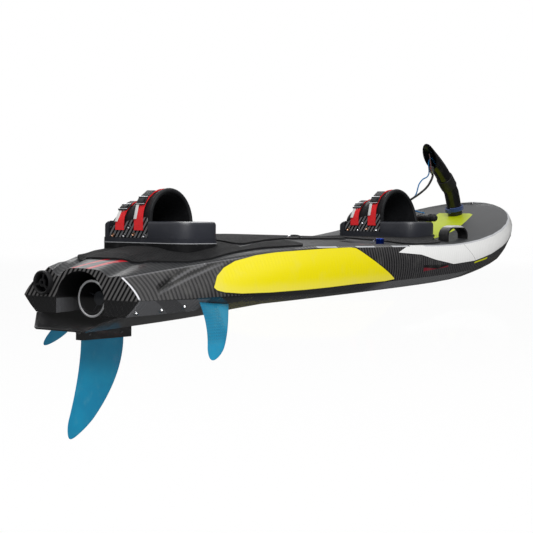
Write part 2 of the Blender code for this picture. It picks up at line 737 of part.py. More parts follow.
def build_exhaust():
    face = STERN
    ring_profile = [(face - 0.010, EXHAUST_RADIUS * 0.78), (face - 0.012, EXHAUST_RADIUS * 0.9),
                    (face - 0.010, EXHAUST_RADIUS), (face - TOUCH, EXHAUST_RADIUS),
                    (face - TOUCH, EXHAUST_RADIUS * 0.78)]
    ring = add_object("exhaust_outlet", spin_about_x(ring_profile, 28), rubber())
    ring.location = (0, EXHAUST_Y, EXHAUST_Z)
    hub_profile = [(face - 0.009, EXHAUST_RADIUS * 0.16), (face - 0.009, EXHAUST_RADIUS * 0.34),
                   (face - 0.003, EXHAUST_RADIUS * 0.34), (face - 0.003, EXHAUST_RADIUS * 0.16)]
    hub = add_object("tool_exhaust_hub", spin_about_x(hub_profile, 20))
    hub.location = ring.location
    join_solids(ring, hub)
    for index in range(EXHAUST_SPOKES):
        spoke = bmesh.new()
        bmesh.ops.create_cube(spoke, size=1.0)
        bmesh.ops.scale(spoke, vec=(0.005, EXHAUST_RADIUS * 0.16, EXHAUST_RADIUS * 0.58), verts=spoke.verts)
        bmesh.ops.translate(spoke, vec=(face - 0.0065, 0, EXHAUST_RADIUS * 0.58), verts=spoke.verts)
        turn = Matrix.Rotation(2 * math.pi * (index / EXHAUST_SPOKES + 0.04), 4, "X")
        bmesh.ops.transform(spoke, matrix=turn, verts=spoke.verts)
        tool = add_object(f"tool_spoke_{index}", spoke)
        tool.location = ring.location
        join_solids(ring, tool)


def foil_ring(front, rear, y, z, thickness, count=6):
    """A thin foil's outline at one height, from its leading edge round to its leading edge."""
    chord = front - rear
    upper, lower = [], []
    for step in range(count + 1):
        t = step / count
        place = front - chord * (1 - math.cos(math.pi * t)) / 2
        depth = (front - place) / chord
        half = thickness * FOIL_FULLNESS * (math.sqrt(depth) - depth) + FOIL_EDGE_HALF
        upper.append((place, y + half, z))
        lower.append((place, y - half, z))
    return upper + lower[::-1]


def build_fins():
    box_rear = STERN - 0.002
    box_front = box_rear + FIN_BOX_LENGTH
    box_outline = rounded_rectangle(box_rear, box_front, -FIN_BOX_WIDTH / 2, FIN_BOX_WIDTH / 2, 0.004, 2)
    rings = []
    for top in (True, False):
        rings.append([(x, y, pod_bottom(x) - TOUCH if top else FIN_BOX_BOTTOM) for x, y in box_outline])
    add_object("fin_box", loft(rings), black_plastic())
    front = box_front - REAR_FIN_SETBACK
    rings = []
    for step in range(13):
        s = min(step / 12, FIN_TIP_SHARE)
        z = FIN_BOX_BOTTOM - TOUCH - REAR_FIN_DEPTH * s
        leading = front - REAR_FIN_RAKE * s**REAR_FIN_LEADING_POWER
        trailing = front - REAR_FIN_CHORD - (REAR_FIN_RAKE - REAR_FIN_CHORD) * s**REAR_FIN_TRAILING_POWER
        rings.append(foil_ring(leading, trailing, 0, z, REAR_FIN_THICKNESS * (1 - REAR_FIN_THINNING * s)))
    add_object("rear_fin", loft(rings), blue_plastic())
    root = bottom_z(SIDE_FIN_X)
    for name, side in (("port_fin", 1), ("starboard_fin", -1)):
        rings = []
        for step in range(-3, 11):
            s = min(step / 10, FIN_TIP_SHARE)
            y = side * (SIDE_FIN_Y + SIDE_FIN_CANT * s)
            leading = SIDE_FIN_X - SIDE_FIN_LEAN * s - SIDE_FIN_TIP_SWEEP * max(s, 0.0)**5
            trailing = SIDE_FIN_X - SIDE_FIN_CHORD + SIDE_FIN_HOLLOW * math.sin(math.pi * min(s / 1.1, 1.0))
            trailing += 0.003 * max(s, 0.0)**8
            thickness = SIDE_FIN_THICKNESS * (1 - SIDE_FIN_THINNING * s)
            rings.append(foil_ring(leading, trailing, y, root - SIDE_FIN_DEPTH * s, thickness))
        fin = add_object(name, loft(rings), blue_plastic())
        combine(fin, hull_form("guide_root_of_" + name, -TOUCH), "DIFFERENCE")


def arch_line(span, height, wall, count=12):
    """An arch's outline from its front foot over to its rear foot, with upright walls, as (x, z) offsets."""
    points = [(span, 0.0), (span, wall * 0.5)]
    for step in range(count + 1):
        angle = math.pi * step / count
        points.append((span * math.cos(angle), wall + (height - wall) * math.sin(angle)))
    return points + [(-span, wall * 0.5), (-span, 0.0)]


def build_bumper(prefix, middle, height):
    """The rounded rubber tray round the foot, whose toe end slopes down, seated on the deck's pad."""
    floor = deck_z(middle, 0) + PAD_THICKNESS + TOUCH
    half = BINDING_WIDTH / 2
    heel, toe = -BINDING_LENGTH / 2, BINDING_LENGTH / 2
    sole = floor + SOLE_THICKNESS
    top = floor + height
    outline = rounded_rectangle(middle - half, middle + half, heel, toe, BUMPER_CORNER, 6)
    block = prism(outline, floor - 0.05, top)
    rim = [edge for edge in block.edges if all(abs(vert.co.z - top) < TOUCH for vert in edge.verts)]
    bmesh.ops.bevel(block, geom=rim, offset=BUMPER_ROUND, offset_type="OFFSET", segments=2, profile=0.5,
                    affect="EDGES", clamp_overlap=True, material=-1)
    bumper = add_object(prefix + "_bumper", block, rubber())
    slope = TOE_SLOPE_DROP / TOE_SLOPE_LENGTH
    low, high = toe - TOE_SLOPE_LENGTH, toe + 0.01
    wedge = [(low, top), (high, top - slope * (high - low)), (high, top + 0.1), (low, top + 0.1)]
    sides = (middle - BINDING_WIDTH, middle + BINDING_WIDTH)
    combine(bumper, add_object(f"cut_{prefix}_toe", loft([[(x, y, z) for y, z in wedge] for x in sides])),
            "DIFFERENCE")
    combine(bumper, hull_form(f"guide_{prefix}_seat", PAD_THICKNESS + TOUCH), "DIFFERENCE")
    inner = rounded_rectangle(middle - half + BUMPER_WALL, middle + half - BUMPER_WALL, heel + BUMPER_WALL,
                              toe - TOE_BUMPER_LENGTH, BUMPER_CORNER * TOE_CORNER_SHARE, 6)
    combine(bumper, add_object(f"cut_{prefix}_foot", prism(inner, sole, floor + 0.2)), "DIFFERENCE")
    return bumper


def build_binding(prefix, middle, height, arch_top, sweep):
    """A foot binding: bumper, side brackets, padded arch and two straps.

    The arch's heel edge sweeps back towards the heel on its forward side.
    """
    bumper = build_bumper(prefix, middle, height)
    half = BINDING_WIDTH / 2
    sole = deck_z(middle, 0) + PAD_THICKNESS + TOUCH + SOLE_THICKNESS
    bracket_low = BINDING_LENGTH / 2 - TOE_BUMPER_LENGTH - BRACKET_LENGTH
    bracket_high = bracket_low + BRACKET_LENGTH
    face = half - STRAP_THICKNESS - TOUCH * 3
    span = face - BRACKET_THICKNESS - TOUCH
    foot = sole + TOUCH

    def arch_height(reach):
        return (arch_top - SOLE_THICKNESS) * (1.0 - ARCH_TOE_DROP * reach**1.4)

    def arch_wall(reach):
        return arch_height(reach) * ARCH_WALL_SHARE
    def arch_y(reach, turn):
        """How far across the board a place on the arch lies: reach runs heel to toe, turn front to rear."""
        back = sweep * (1 - reach) * (1 - turn)**2
        return bracket_low + TOUCH + (BRACKET_LENGTH - 2 * TOUCH) * reach - back

    for turn, place in ((1, "rear"), (0, "front")):
        side = 1 - 2 * turn
        inner_x = middle + side * (half - BUMPER_WALL - BUMPER_CORNER * 0.5)
        outer_x = middle + side * (half + 0.01)
        notch_low = arch_y(0, turn) - TOUCH * 4
        notch = [(inner_x, notch_low), (outer_x, notch_low), (outer_x, bracket_high), (inner_x, bracket_high)]
        side_cut = add_object(f"cut_{prefix}_{place}_side", prism(notch, sole, sole + 0.2))
        combine(bumper, side_cut, "DIFFERENCE")
        first = sweep * (1 - turn) / (BRACKET_LENGTH + sweep)
        profile = [(arch_y(first, turn), foot), (arch_y(1, turn), foot)]
        for step in range(5, -1, -1):
            reach = first + (1 - first) * (ARCH_MARGIN + (1 - 2 * ARCH_MARGIN) * step / 5)
            profile.append((arch_y(reach, turn), foot + arch_wall(reach)))
        plate = loft([[(x, y, z) for y, z in profile]
                      for x in (middle + side * (face - BRACKET_THICKNESS), middle + side * face)])
        add_object(f"{prefix}_{place}_bracket", plate, carbon())

    def hoop(reach, width, wide_top, thickness):
        """One closed ring across the binding, from its outer line back along its inner line."""
        outer = arch_line(width, wide_top, arch_wall(reach))
        inside = arch_line(width - thickness, wide_top - thickness, arch_wall(reach))
        places = [(x, arch_y(reach, index / (len(outer) - 1)), z) for index, (x, z) in enumerate(outer)]
        places += [(x, places[index][1], z) for index, (x, z) in reversed(list(enumerate(inside)))]
        return [(middle + x, y, foot + z) for x, y, z in places]

    rings = [hoop(step / 6, span, arch_height(step / 6), ARCH_THICKNESS) for step in range(7)]
    add_object(prefix + "_arch", loft(rings), foam())

    over = BRACKET_THICKNESS + TOUCH * 2
    for name, place in (("heel_strap", 0.24), ("toe_strap", 0.72)):
        rings = []
        for edge in (-1, 0, 1):
            reach = place + edge * STRAP_WIDTH / 2 / BRACKET_LENGTH
            top = arch_height(reach) + TOUCH * 2 + STRAP_THICKNESS
            rings.append(hoop(reach, span + over + STRAP_THICKNESS, top, STRAP_THICKNESS))
        add_object(f"{prefix}_{name}", loft(rings), red_webbing())


def pole_path(start, end, count):
    """Points and directions along part of the pole's curve, given as shares of its length."""
    walked = smooth_path([(x, 0, z) for x, z in (POLE_FOOT, POLE_LOW, POLE_HIGH, POLE_NECK, POLE_END)], 1001)
    places, ways = [], []
    for step in range(count):
        index = round(1000 * (start + (end - start) * step / (count - 1)))
        places.append(walked[index])
        ways.append(walked[min(index + 3, 1000)] - walked[max(index - 3, 0)])
    return places, ways


def mouth_plane():
    """The middle of the pole's cut mouth, the way up along the cut, and the cut's lowest point."""
    places, ways = pole_path(MOUTH_AT, MOUTH_AT + 0.01, 2)
    rise = Vector((-math.sin(MOUTH_LEAN), 0, math.cos(MOUTH_LEAN)))
    across = ways[0].normalized().cross(rise).length
    return places[0], rise, places[0] - rise * POLE_RADIUS / across


def build_pole():
    """The bent pole at the bow: a lower tube, a rubber sleeve, and a hollow tube cut to a mouth."""
    def length_of(start, end, count, radius):
        places, ways = pole_path(start, end, count)
        return loft(tube_rings(places, [radius] * count, 20, ways))
    lower = add_object("pole_lower_tube", length_of(0, SLEEVE_START, 6, POLE_RADIUS), black_plastic())
    combine(lower, hull_form("guide_pole_foot", TOUCH), "DIFFERENCE")
    sleeve_start, sleeve_end = SLEEVE_START + SLEEVE_JOINT_SHARE, SLEEVE_END - SLEEVE_JOINT_SHARE
    add_object("pole_sleeve", length_of(sleeve_start, sleeve_end, 6, POLE_RADIUS + SLEEVE_WALL), rubber())
    upper = add_object("pole_upper_tube", length_of(SLEEVE_END, 1, 8, POLE_RADIUS), black_plastic())
    hollow = length_of(HOLLOW_START, 1, 7, POLE_RADIUS - POLE_WALL)
    combine(upper, add_object("cut_pole_hollow", hollow), "DIFFERENCE")
    middle, rise, _ = mouth_plane()
    far = POLE_RADIUS * 5
    edge = [(place.x, place.z) for place in (middle - rise * far, middle + rise * far)]
    beyond = [(edge[1][0] - far, edge[1][1]), (edge[0][0] - far, edge[0][1])]
    combine(upper, add_object("cut_pole_mouth", slab(edge + beyond, -far, far)), "DIFFERENCE")


def build_rope():
    """Three turns of rope tied round the foot of the pole."""
    profile = []
    for turn in (-1, 0, 1):
        for step in range(5):
            angle = math.pi * (step / 4 - 0.5)
            profile.append((turn * ROPE_RADIUS * 1.9 + ROPE_RADIUS * 0.9 * math.sin(angle),
                            POLE_RADIUS + ROPE_RADIUS * (0.5 + math.cos(angle))))
    profile += [(ROPE_RADIUS * 2.8, POLE_RADIUS + TOUCH * 2), (-ROPE_RADIUS * 2.8, POLE_RADIUS + TOUCH * 2)]
    ring = spin_about_x(profile, 20)
    places, ways = pole_path(ROPE_AT, ROPE_AT + 0.01, 2)
    start = ways[0].to_track_quat("X", "Y").to_matrix()
    bmesh.ops.rotate(ring, verts=ring.verts, cent=(0, 0, 0), matrix=start)
    rope = add_object("rope_lashing", ring, finish("blue_rope", (0.01, 0.05, 0.16), 0.8))
    rope.location = places[0]


def cord(name, route, diameter, count, surface):
    line = bpy.data.curves.new(name, "CURVE")
    line.dimensions = "3D"
    line.bevel_depth = diameter / 2
    line.bevel_resolution = 2
    line.use_fill_caps = True
    points = smooth_path(route, count)
    spline = line.splines.new("POLY")
    spline.points.add(len(points) - 1)
    for point, place in zip(spline.points, points):
        point.co = (*place, 1.0)
    line.materials.append(surface)
    thing = bpy.data.objects.new(name, line)
    bpy.context.collection.objects.link(thing)
    return thing


def build_fittings():
    """The carry handle and the blue cap on the starboard side of the deck."""
    rings = []
    for side in (-1, 1):
        y = HANDLE_Y + side * HANDLE_WIDTH / 2
        base = deck_z(HANDLE_X, HANDLE_Y)
        outer, inside = [], []
        for store, lift in ((outer, 0.0), (inside, HANDLE_THICKNESS)):
            line = arch_line(HANDLE_SPAN / 2 - lift, HANDLE_HEIGHT - lift, HANDLE_HEIGHT * 0.35)
            line = [(line[0][0], -0.02)] + line + [(line[-1][0], -0.02)]
            store.extend((HANDLE_X + x, y, base + z) for x, z in line)
        rings.append(outer + inside[::-1])
    handle = add_object("carry_handle", loft(rings), rubber())
    combine(handle, hull_form("guide_handle_feet", TOUCH), "DIFFERENCE")
    base = deck_z(CAP_X, CAP_Y)
    cap_outline = circle(CAP_RADIUS, 24, (CAP_X, CAP_Y))
    cap = add_object("fuel_cap", prism(cap_outline, base - 0.02, base + CAP_HEIGHT),
                     finish("blue_metal", (0.01, 0.06, 0.45), 0.25, 1.0))
    combine(cap, hull_form("guide_cap", TOUCH - RECESS_DEPTH), "DIFFERENCE")


def build_grip():
    """The throttle grip that lies on the front binding's heel bumper, with the cable into its end."""
    top = deck_z(FRONT_BINDING_X, 0) + PAD_THICKNESS + TOUCH + FRONT_BUMPER_HEIGHT
    centre = Vector((FRONT_BINDING_X + BINDING_WIDTH / 2 + GRIP_OVERHANG, GRIP_Y,
                     top + GRIP_RADIUS * math.cos(math.pi / 16) + TOUCH))
    toward = Vector(GRIP_TOWARD).normalized()
    across = Vector((-toward.y, toward.x, 0.0))
    upward = Vector((0, 0, 1))
    stations = ((-0.5, 0.5), (-0.46, 0.75), (-0.42, 1.0), (0.42, 1.0), (0.47, 0.6), (0.56, 0.45), (0.60, 0.8),
                (0.66, 0.95), (0.72, 0.8), (0.77, 0.35))
    rings = []
    for share_along, scale in stations:
        middle = centre + toward * GRIP_LENGTH * share_along
        ring = circle(GRIP_RADIUS * scale, 16, start=math.pi / 16)
        rings.append([middle + across * a + upward * b for a, b in ring])
    add_object("throttle_grip", loft(rings), black_plastic())
    tie = centre + upward * (GRIP_RADIUS + TETHER_DIAMETER / 2 + TOUCH) - toward * GRIP_LENGTH * 0.1
    return centre - toward * (GRIP_LENGTH / 2 + TOUCH * 2), tie


def build_cords():
    """The cable's collar with its guide rod at the pole's mouth, the throttle cable and the blue tether."""
    _, rise, foot = mouth_plane()
    out = Vector((-rise.z, 0, rise.x))
    axis = (rise * math.cos(COLLAR_TILT) - out * math.sin(COLLAR_TILT)).normalized()
    low = foot + out * (COLLAR_RADIUS + COLLAR_GAP) - axis * COLLAR_LENGTH * 0.35
    stations = ((0, COLLAR_RADIUS * 0.75), (COLLAR_LENGTH * 0.4, COLLAR_RADIUS),
                (COLLAR_LENGTH, COLLAR_RADIUS), (COLLAR_LENGTH + TOUCH, GUIDE_RADIUS),
                (COLLAR_LENGTH + GUIDE_LENGTH, GUIDE_RADIUS))
    rod = loft([[(x, y, z) for y, z in circle(radius, 16)] for x, radius in stations])
    bmesh.ops.rotate(rod, verts=rod.verts, cent=(0, 0, 0), matrix=axis.to_track_quat("X", "Y").to_matrix())
    collar = add_object("cable_collar", rod, steel())
    collar.location = low

    end, top = build_grip()
    start = low - axis * TOUCH * 3
    cable = [start, start - axis * 0.010, (0.628, 0.001, 0.296), (0.609, 0.003, 0.280), (0.580, 0.006, 0.264),
             (0.547, 0.010, 0.249), (0.521, 0.013, 0.237), (0.500, 0.011, 0.222), (0.485, -0.004, 0.207),
             end + Vector((0.010, 0.022, 0.003)), end]
    cord("throttle_cable", cable, CABLE_DIAMETER, 22, finish("cable", (0.012, 0.012, 0.013), 0.45))
    places, ways = pole_path(HOLLOW_START, HOLLOW_START + 0.03, 2)
    inner = places[0] + ways[0].normalized() * TOUCH * 3 + Vector((0, 0.006, 0))
    tether = [inner, (0.672, 0.0065, 0.356), (0.655, 0.008, 0.372), (0.645, 0.0095, 0.3735),
              (0.638, 0.0105, 0.364), (0.637, 0.0105, 0.350), (0.640, 0.0105, 0.336), (0.639, 0.011, 0.324),
              (0.632, 0.014, 0.315), (0.618, 0.018, 0.309), (0.606, 0.020, 0.300), (0.597, 0.021, 0.290),
              (0.591, 0.021, 0.278), (0.586, 0.022, 0.265), (0.576, 0.023, 0.254), (0.556, 0.024, 0.246),
              (0.530, 0.028, 0.241), (0.508, 0.030, 0.236), (0.491, 0.020, 0.228), (0.480, -0.002, 0.220),
              top + Vector((0.006, 0.022, 0.003)), top]
    cord("tether_cord", tether, TETHER_DIAMETER, 54, finish("tether", (0.02, 0.28, 0.55), 0.5))


def build_latches():
    """An oval latch with a bowed lever at each side of the hatch."""
    for name, side in (("port_latch", 1), ("starboard_latch", -1)):
        y = side * LATCH_Y
        half = LATCH_WIDTH / 2
        outline = rounded_rectangle(LATCH_X - LATCH_LENGTH / 2, LATCH_X + LATCH_LENGTH / 2,
                                    y - half, y + half, half * 0.98, 6)
        latch = deck_piece(name, outline, TOUCH, LATCH_RISE, black_plastic())
        rings = []
        for step in range(9):
            turn = math.pi * step / 8
            x = LATCH_X - LATCH_LENGTH * 0.3 * math.cos(turn)
            low = deck_z(x, y) + LATCH_RISE * 0.5 + LATCH_BAR * math.sin(turn)
            wide = LATCH_BAR / 2
            rings.append([(x, y - wide, low), (x, y + wide, low),
                          (x, y + wide, low + LATCH_BAR * 0.8), (x, y - wide, low + LATCH_BAR * 0.8)])
        join_solids(latch, add_object("tool_lever_of_" + name, loft(rings)))


def main():
    clear_scene()
    build_hull()
    build_hatch()
    build_pads()
    build_engine()
    build_pod()
    build_jet()
    build_exhaust()
    build_fins()
    build_binding("rear_binding", REAR_BINDING_X, REAR_BUMPER_HEIGHT, REAR_ARCH_TOP, REAR_ARCH_SWEEP)
    build_binding("front_binding", FRONT_BINDING_X, FRONT_BUMPER_HEIGHT, FRONT_ARCH_TOP, FRONT_ARCH_SWEEP)
    build_pole()
    build_rope()
    build_fittings()
    build_latches()
    build_cords()


main()
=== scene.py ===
# %% [markdown]
# Motor surfboard, step by step.
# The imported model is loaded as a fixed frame, and everything made here stands in that frame: it is in
# metres, with +X towards the bow, +Y to port and +Z up, and the water's surface at Z = 0.

# %% Load the frame
import json
import math

import bmesh
import bpy
from mathutils import Matrix, Vector
from mathutils.bvhtree import BVHTree


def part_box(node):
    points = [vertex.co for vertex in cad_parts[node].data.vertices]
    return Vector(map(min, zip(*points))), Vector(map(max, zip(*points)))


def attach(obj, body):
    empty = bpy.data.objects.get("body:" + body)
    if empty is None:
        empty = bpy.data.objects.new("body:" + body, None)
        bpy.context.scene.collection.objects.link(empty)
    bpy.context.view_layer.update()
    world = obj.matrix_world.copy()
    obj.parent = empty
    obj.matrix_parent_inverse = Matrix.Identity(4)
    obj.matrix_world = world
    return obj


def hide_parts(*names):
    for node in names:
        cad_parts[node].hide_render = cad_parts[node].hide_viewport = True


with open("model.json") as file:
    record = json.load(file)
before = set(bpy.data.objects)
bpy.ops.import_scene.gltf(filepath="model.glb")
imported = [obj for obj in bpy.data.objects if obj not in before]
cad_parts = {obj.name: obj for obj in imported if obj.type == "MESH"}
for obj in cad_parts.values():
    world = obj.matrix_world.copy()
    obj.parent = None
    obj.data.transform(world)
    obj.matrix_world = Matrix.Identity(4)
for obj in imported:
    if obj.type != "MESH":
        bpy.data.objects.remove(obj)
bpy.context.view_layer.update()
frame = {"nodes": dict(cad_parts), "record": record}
nodes = frame["nodes"]
body_of_node = {node: body for body, members in frame["record"]["behaviour"]["bodies"].items()
                for node in members}

# %% [markdown]
# The camera stands low behind the board's starboard quarter with a long lens, which keeps the far
# nose from shrinking. A camera is placed by one matrix: its own X runs to the right of the picture,
# its Y up the picture, and it looks along its own -Z.

# %% Place the camera
def new_object(name, data):
    """An object with that data, linked into the scene."""
    made = bpy.data.objects.new(name, data)
    bpy.context.scene.collection.objects.link(made)
    return made


CAMERA_PLACE = Vector((-3.2106, -2.2648, 0.1858))
CAMERA_YAW = math.radians(37.0)
CAMERA_PITCH = math.radians(-1.98)
CAMERA_ROLL = 0.0122
CAMERA_LENS = 96.68
SENSOR_WIDTH = 36.0

ahead = Vector((math.cos(CAMERA_YAW) * math.cos(CAMERA_PITCH),
                math.sin(CAMERA_YAW) * math.cos(CAMERA_PITCH), math.sin(CAMERA_PITCH)))
level = ahead.cross(Vector((0, 0, 1))).normalized()
upright = level.cross(ahead)
right = level * math.cos(CAMERA_ROLL) + upright * math.sin(CAMERA_ROLL)
up = -level * math.sin(CAMERA_ROLL) + upright * math.cos(CAMERA_ROLL)

lens = bpy.data.cameras.new("camera")
lens.lens = CAMERA_LENS
lens.sensor_width = SENSOR_WIDTH
camera = new_object("camera", lens)
camera.matrix_world = Matrix.Translation(CAMERA_PLACE) @ Matrix((right, up, -ahead)).transposed().to_4x4()
bpy.context.scene.camera = camera
bpy.context.scene.view_settings.view_transform = "Standard"
print("camera at", tuple(CAMERA_PLACE))

# %% [markdown]
# Every finish is built node by node. One small class keeps the recipes short: each of its calls adds a
# few nodes and hands back a socket, so that a recipe reads as plain steps: where a colour lies, how
# rough it is, and which relief it has. All patterns follow the object's own metres, so a weave keeps
# its real size, and they hold still when the camera moves.

# %% Write finishes with nodes
def grey(value):
    return (value, value, value)


def smooth_range(tree, value, low, high, at_low, at_high):
    """Climbs smoothly from one result, at and below low, to another, at and above high."""
    made = tree.nodes.new("ShaderNodeMapRange")
    made.interpolation_type = "SMOOTHSTEP"
    for name, setting in zip(("From Min", "From Max", "To Min", "To Max"), (low, high, at_low, at_high)):
        made.inputs[name].default_value = setting
    tree.links.new(value, made.inputs["Value"])
    return made.outputs["Result"]


class Finish:
    """A material, and the calls that paint, dull and emboss it."""

    def __init__(self, name, color, roughness, metallic=0.0, coat=0.0, shine=0.3):
        self.material = bpy.data.materials.new(name)
        self.material.use_nodes = True
        self.tree = self.material.node_tree
        self.shader = self.tree.nodes["Principled BSDF"]
        self.shader.inputs["Metallic"].default_value = metallic
        self.shader.inputs["Coat Weight"].default_value = coat
        self.shader.inputs["Coat Roughness"].default_value = 0.05
        self.shader.inputs["Specular IOR Level"].default_value = shine if metallic < 0.5 else 0.5
        self.put("Base Color", (*color, 1.0))
        self.put("Roughness", roughness)
        self.place = self.node("ShaderNodeTexCoord").outputs["Object"]
        parts = self.node("ShaderNodeSeparateXYZ")
        self.feed(parts.inputs[0], self.place)
        self.x, self.y, self.z = parts.outputs

    def node(self, kind, **settings):
        made = self.tree.nodes.new(kind)
        for name, value in settings.items():
            setattr(made, name, value)
        return made

    def feed(self, socket, value):
        if isinstance(value, bpy.types.NodeSocket):
            self.tree.links.new(value, socket)
        else:
            socket.default_value = value

    def put(self, name, value):
        """Sets one of the shader's own sockets."""
        self.feed(self.shader.inputs[name], value)
        return self

    def toward(self, way):
        """Metres in a direction: x, y and z, each times its share, added up."""
        made = self.node("ShaderNodeVectorMath", operation="DOT_PRODUCT")
        self.feed(made.inputs[0], self.place)
        self.feed(made.inputs[1], way)
        return made.outputs["Value"]

    def math(self, operation, *values):
        made = self.node("ShaderNodeMath", operation=operation)
        for socket, value in zip(made.inputs, values):
            self.feed(socket, value)
        return made.outputs[0]

    def both(self, *shares):
        """The part that lies inside all of the shares."""
        result = shares[0]
        for share in shares[1:]:
            result = self.math("MULTIPLY", result, share)
        return result

    def rise(self, value, low, high):
        """0 below low and 1 above high, or the other way round when low is the larger."""
        ends = (1.0, 0.0) if low > high else (0.0, 1.0)
        return smooth_range(self.tree, value, min(low, high), max(low, high), *ends)

    def where(self, *limits):
        """The part where each value has risen past its limits, or fallen past them."""
        return self.both(*(self.rise(*limit) for limit in limits))

    def between(self, value, low, high, soft=0.001):
        return self.where((value, low - soft, low + soft), (value, high + soft, high - soft))

    def line(self, value, points):
        """A drawn line: the height, in metres, that goes with each value."""
        heights = [height for _, height in points]
        start, stop = points[0][0], points[-1][0]
        base, span = min(heights), max(max(heights) - min(heights), 1e-4)
        inward = self.math("DIVIDE", self.math("SUBTRACT", value, start), stop - start)
        made = self.node("ShaderNodeFloatCurve")
        curve = made.mapping.curves[0]
        places = [((place - start) / (stop - start), (height - base) / span) for place, height in points]
        curve.points[0].location = places[0]
        curve.points[1].location = places[-1]
        for place in places[1:-1]:
            curve.points.new(*place)
        for point in curve.points:
            point.handle_type = "VECTOR"
        made.mapping.update()
        self.feed(made.inputs["Value"], inward)
        return self.math("ADD", self.math("MULTIPLY", made.outputs[0], span), base)

    def above(self, points, along, height):
        """How far the height lies over a drawn line."""
        return self.math("SUBTRACT", height, self.line(along, points))

    def panel(self, lower, upper, height=None, soft=0.0006):
        """The area between two lines drawn along the board."""
        height = self.z if height is None else height
        over_lower = self.above(lower, self.x, height)
        over_upper = self.above(upper, self.x, height)
        ends = self.between(self.x, max(lower[0][0], upper[0][0]), min(lower[-1][0], upper[-1][0]), soft)
        return self.both(self.where((over_lower, -soft, soft), (over_upper, soft, -soft)), ends)

    def noise(self, scale, detail=2.0, stretch=(1.0, 1.0, 1.0)):
        mapped = self.node("ShaderNodeMapping")
        self.feed(mapped.inputs["Vector"], self.place)
        mapped.inputs["Scale"].default_value = stretch
        made = self.node("ShaderNodeTexNoise")
        self.feed(made.inputs["Vector"], mapped.outputs["Vector"])
        made.inputs["Scale"].default_value = scale
        made.inputs["Detail"].default_value = detail
        return made.outputs["Fac"]

    def wave(self, value, pitch, sharp=0.0):
        """Even stripes along a value: 0 to 1 and back once in each pitch."""
        turn = self.math("MULTIPLY", value, 2 * math.pi / pitch)
        half = self.math("MULTIPLY_ADD", self.math("SINE", turn), 0.5, 0.5)
        return self.rise(half, sharp, 1.0 - sharp) if sharp else half

    def mix(self, share, low, high):
        made = self.node("ShaderNodeMix", data_type="FLOAT")
        for socket, value in zip((made.inputs[0], made.inputs[2], made.inputs[3]), (share, low, high)):
            self.feed(socket, value)
        return made.outputs[0]

    def now(self, name):
        """What feeds one of the shader's sockets at the moment."""
        socket = self.shader.inputs[name]
        if socket.is_linked:
            return socket.links[0].from_socket
        value = socket.default_value
        return tuple(value) if hasattr(value, "__len__") else value

    def part_of(self, share, amount):
        return share if amount == 1.0 else self.math("MULTIPLY", share, amount)

    def paint(self, share, color, amount=1.0):
        made = self.node("ShaderNodeMix", data_type="RGBA")
        for socket, value in zip((made.inputs[0], made.inputs[6], made.inputs[7]),
                                 (self.part_of(share, amount), self.now("Base Color"), (*color, 1.0))):
            self.feed(socket, value)
        return self.put("Base Color", made.outputs[2])

    def dull(self, share, roughness, amount=1.0):
        return self.put("Roughness", self.mix(self.part_of(share, amount), self.now("Roughness"), roughness))

    def emboss(self, height, depth):
        """Relief of that depth, in metres, on top of the relief so far."""
        made = self.node("ShaderNodeBump")
        made.inputs["Strength"].default_value = 1.0
        made.inputs["Distance"].default_value = depth
        self.feed(made.inputs["Height"], height)
        if self.shader.inputs["Normal"].is_linked:
            self.feed(made.inputs["Normal"], self.now("Normal"))
        return self.put("Normal", made.outputs["Normal"])

    def wear(self, light, amount=0.25, scale=60.0):
        """Faint blotches of handling: a shade lighter and a little duller."""
        spots = self.rise(self.noise(scale, 5.0), 0.5, 0.78)
        self.paint(spots, light, amount)
        return self.dull(spots, 0.6, amount)


def grained(name, color, roughness, grain, relief, marks, **more):
    """A plain finish with a fine grain raised on it, and the marks that handling leaves."""
    made = Finish(name, color, roughness, **more)
    made.emboss(made.noise(*grain), relief)
    return made.wear(*marks)


print("finish helpers ready")

# %% [markdown]
# A piece is finished with the same few steps each time: its mesh becomes an object that sits at the
# origin, rides on a body of the frame and takes its finishes as its materials.

# %% Add pieces to the frame
def add_piece(name, shape, finishes, body="board", stands_for=(), smooth=True):
    """Turns a bmesh into a piece of the board."""
    mesh = bpy.data.meshes.new(name)
    for face in shape.faces:
        face.smooth = smooth
    shape.to_mesh(mesh)
    shape.free()
    piece = new_object(name, mesh)
    for finish in finishes if isinstance(finishes, (list, tuple)) else [finishes]:
        mesh.materials.append(finish.material)
    if stands_for:
        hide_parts(*stands_for)
        body = body_of_node[stands_for[0]]
    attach(piece, body)
    return piece


def soften(piece, width, segments=2, angle=35):
    """Rounds a piece's sharp edges with a live bevel."""
    made = piece.modifiers.new("rounded_edges", "BEVEL")
    made.width = width
    made.segments = segments
    made.limit_method = "ANGLE"
    made.angle_limit = math.radians(angle)
    made.use_clamp_overlap = True
    return piece


def crease_edges(shape, angle):
    """Keeps edges sharper than the angle crisp, and shades the rest smooth."""
    for edge in shape.edges:
        edge.smooth = len(edge.link_faces) == 2 and edge.calc_face_angle(math.pi) < math.radians(angle)


def cut_plane(shape, place, way, **settings):
    """Cuts a shape along a plane; clear_inner or clear_outer drops what lies on one side."""
    everything = shape.verts[:] + shape.edges[:] + shape.faces[:]
    bmesh.ops.bisect_plane(shape, geom=everything, dist=1e-6, plane_co=place, plane_no=way, **settings)


def close_holes(shape):
    bmesh.ops.holes_fill(shape, edges=[edge for edge in shape.edges if edge.is_boundary])


def turn_and_move(shape, verts, place, turned):
    bmesh.ops.transform(shape, verts=verts, matrix=Matrix.Translation(place) @ turned.to_4x4())


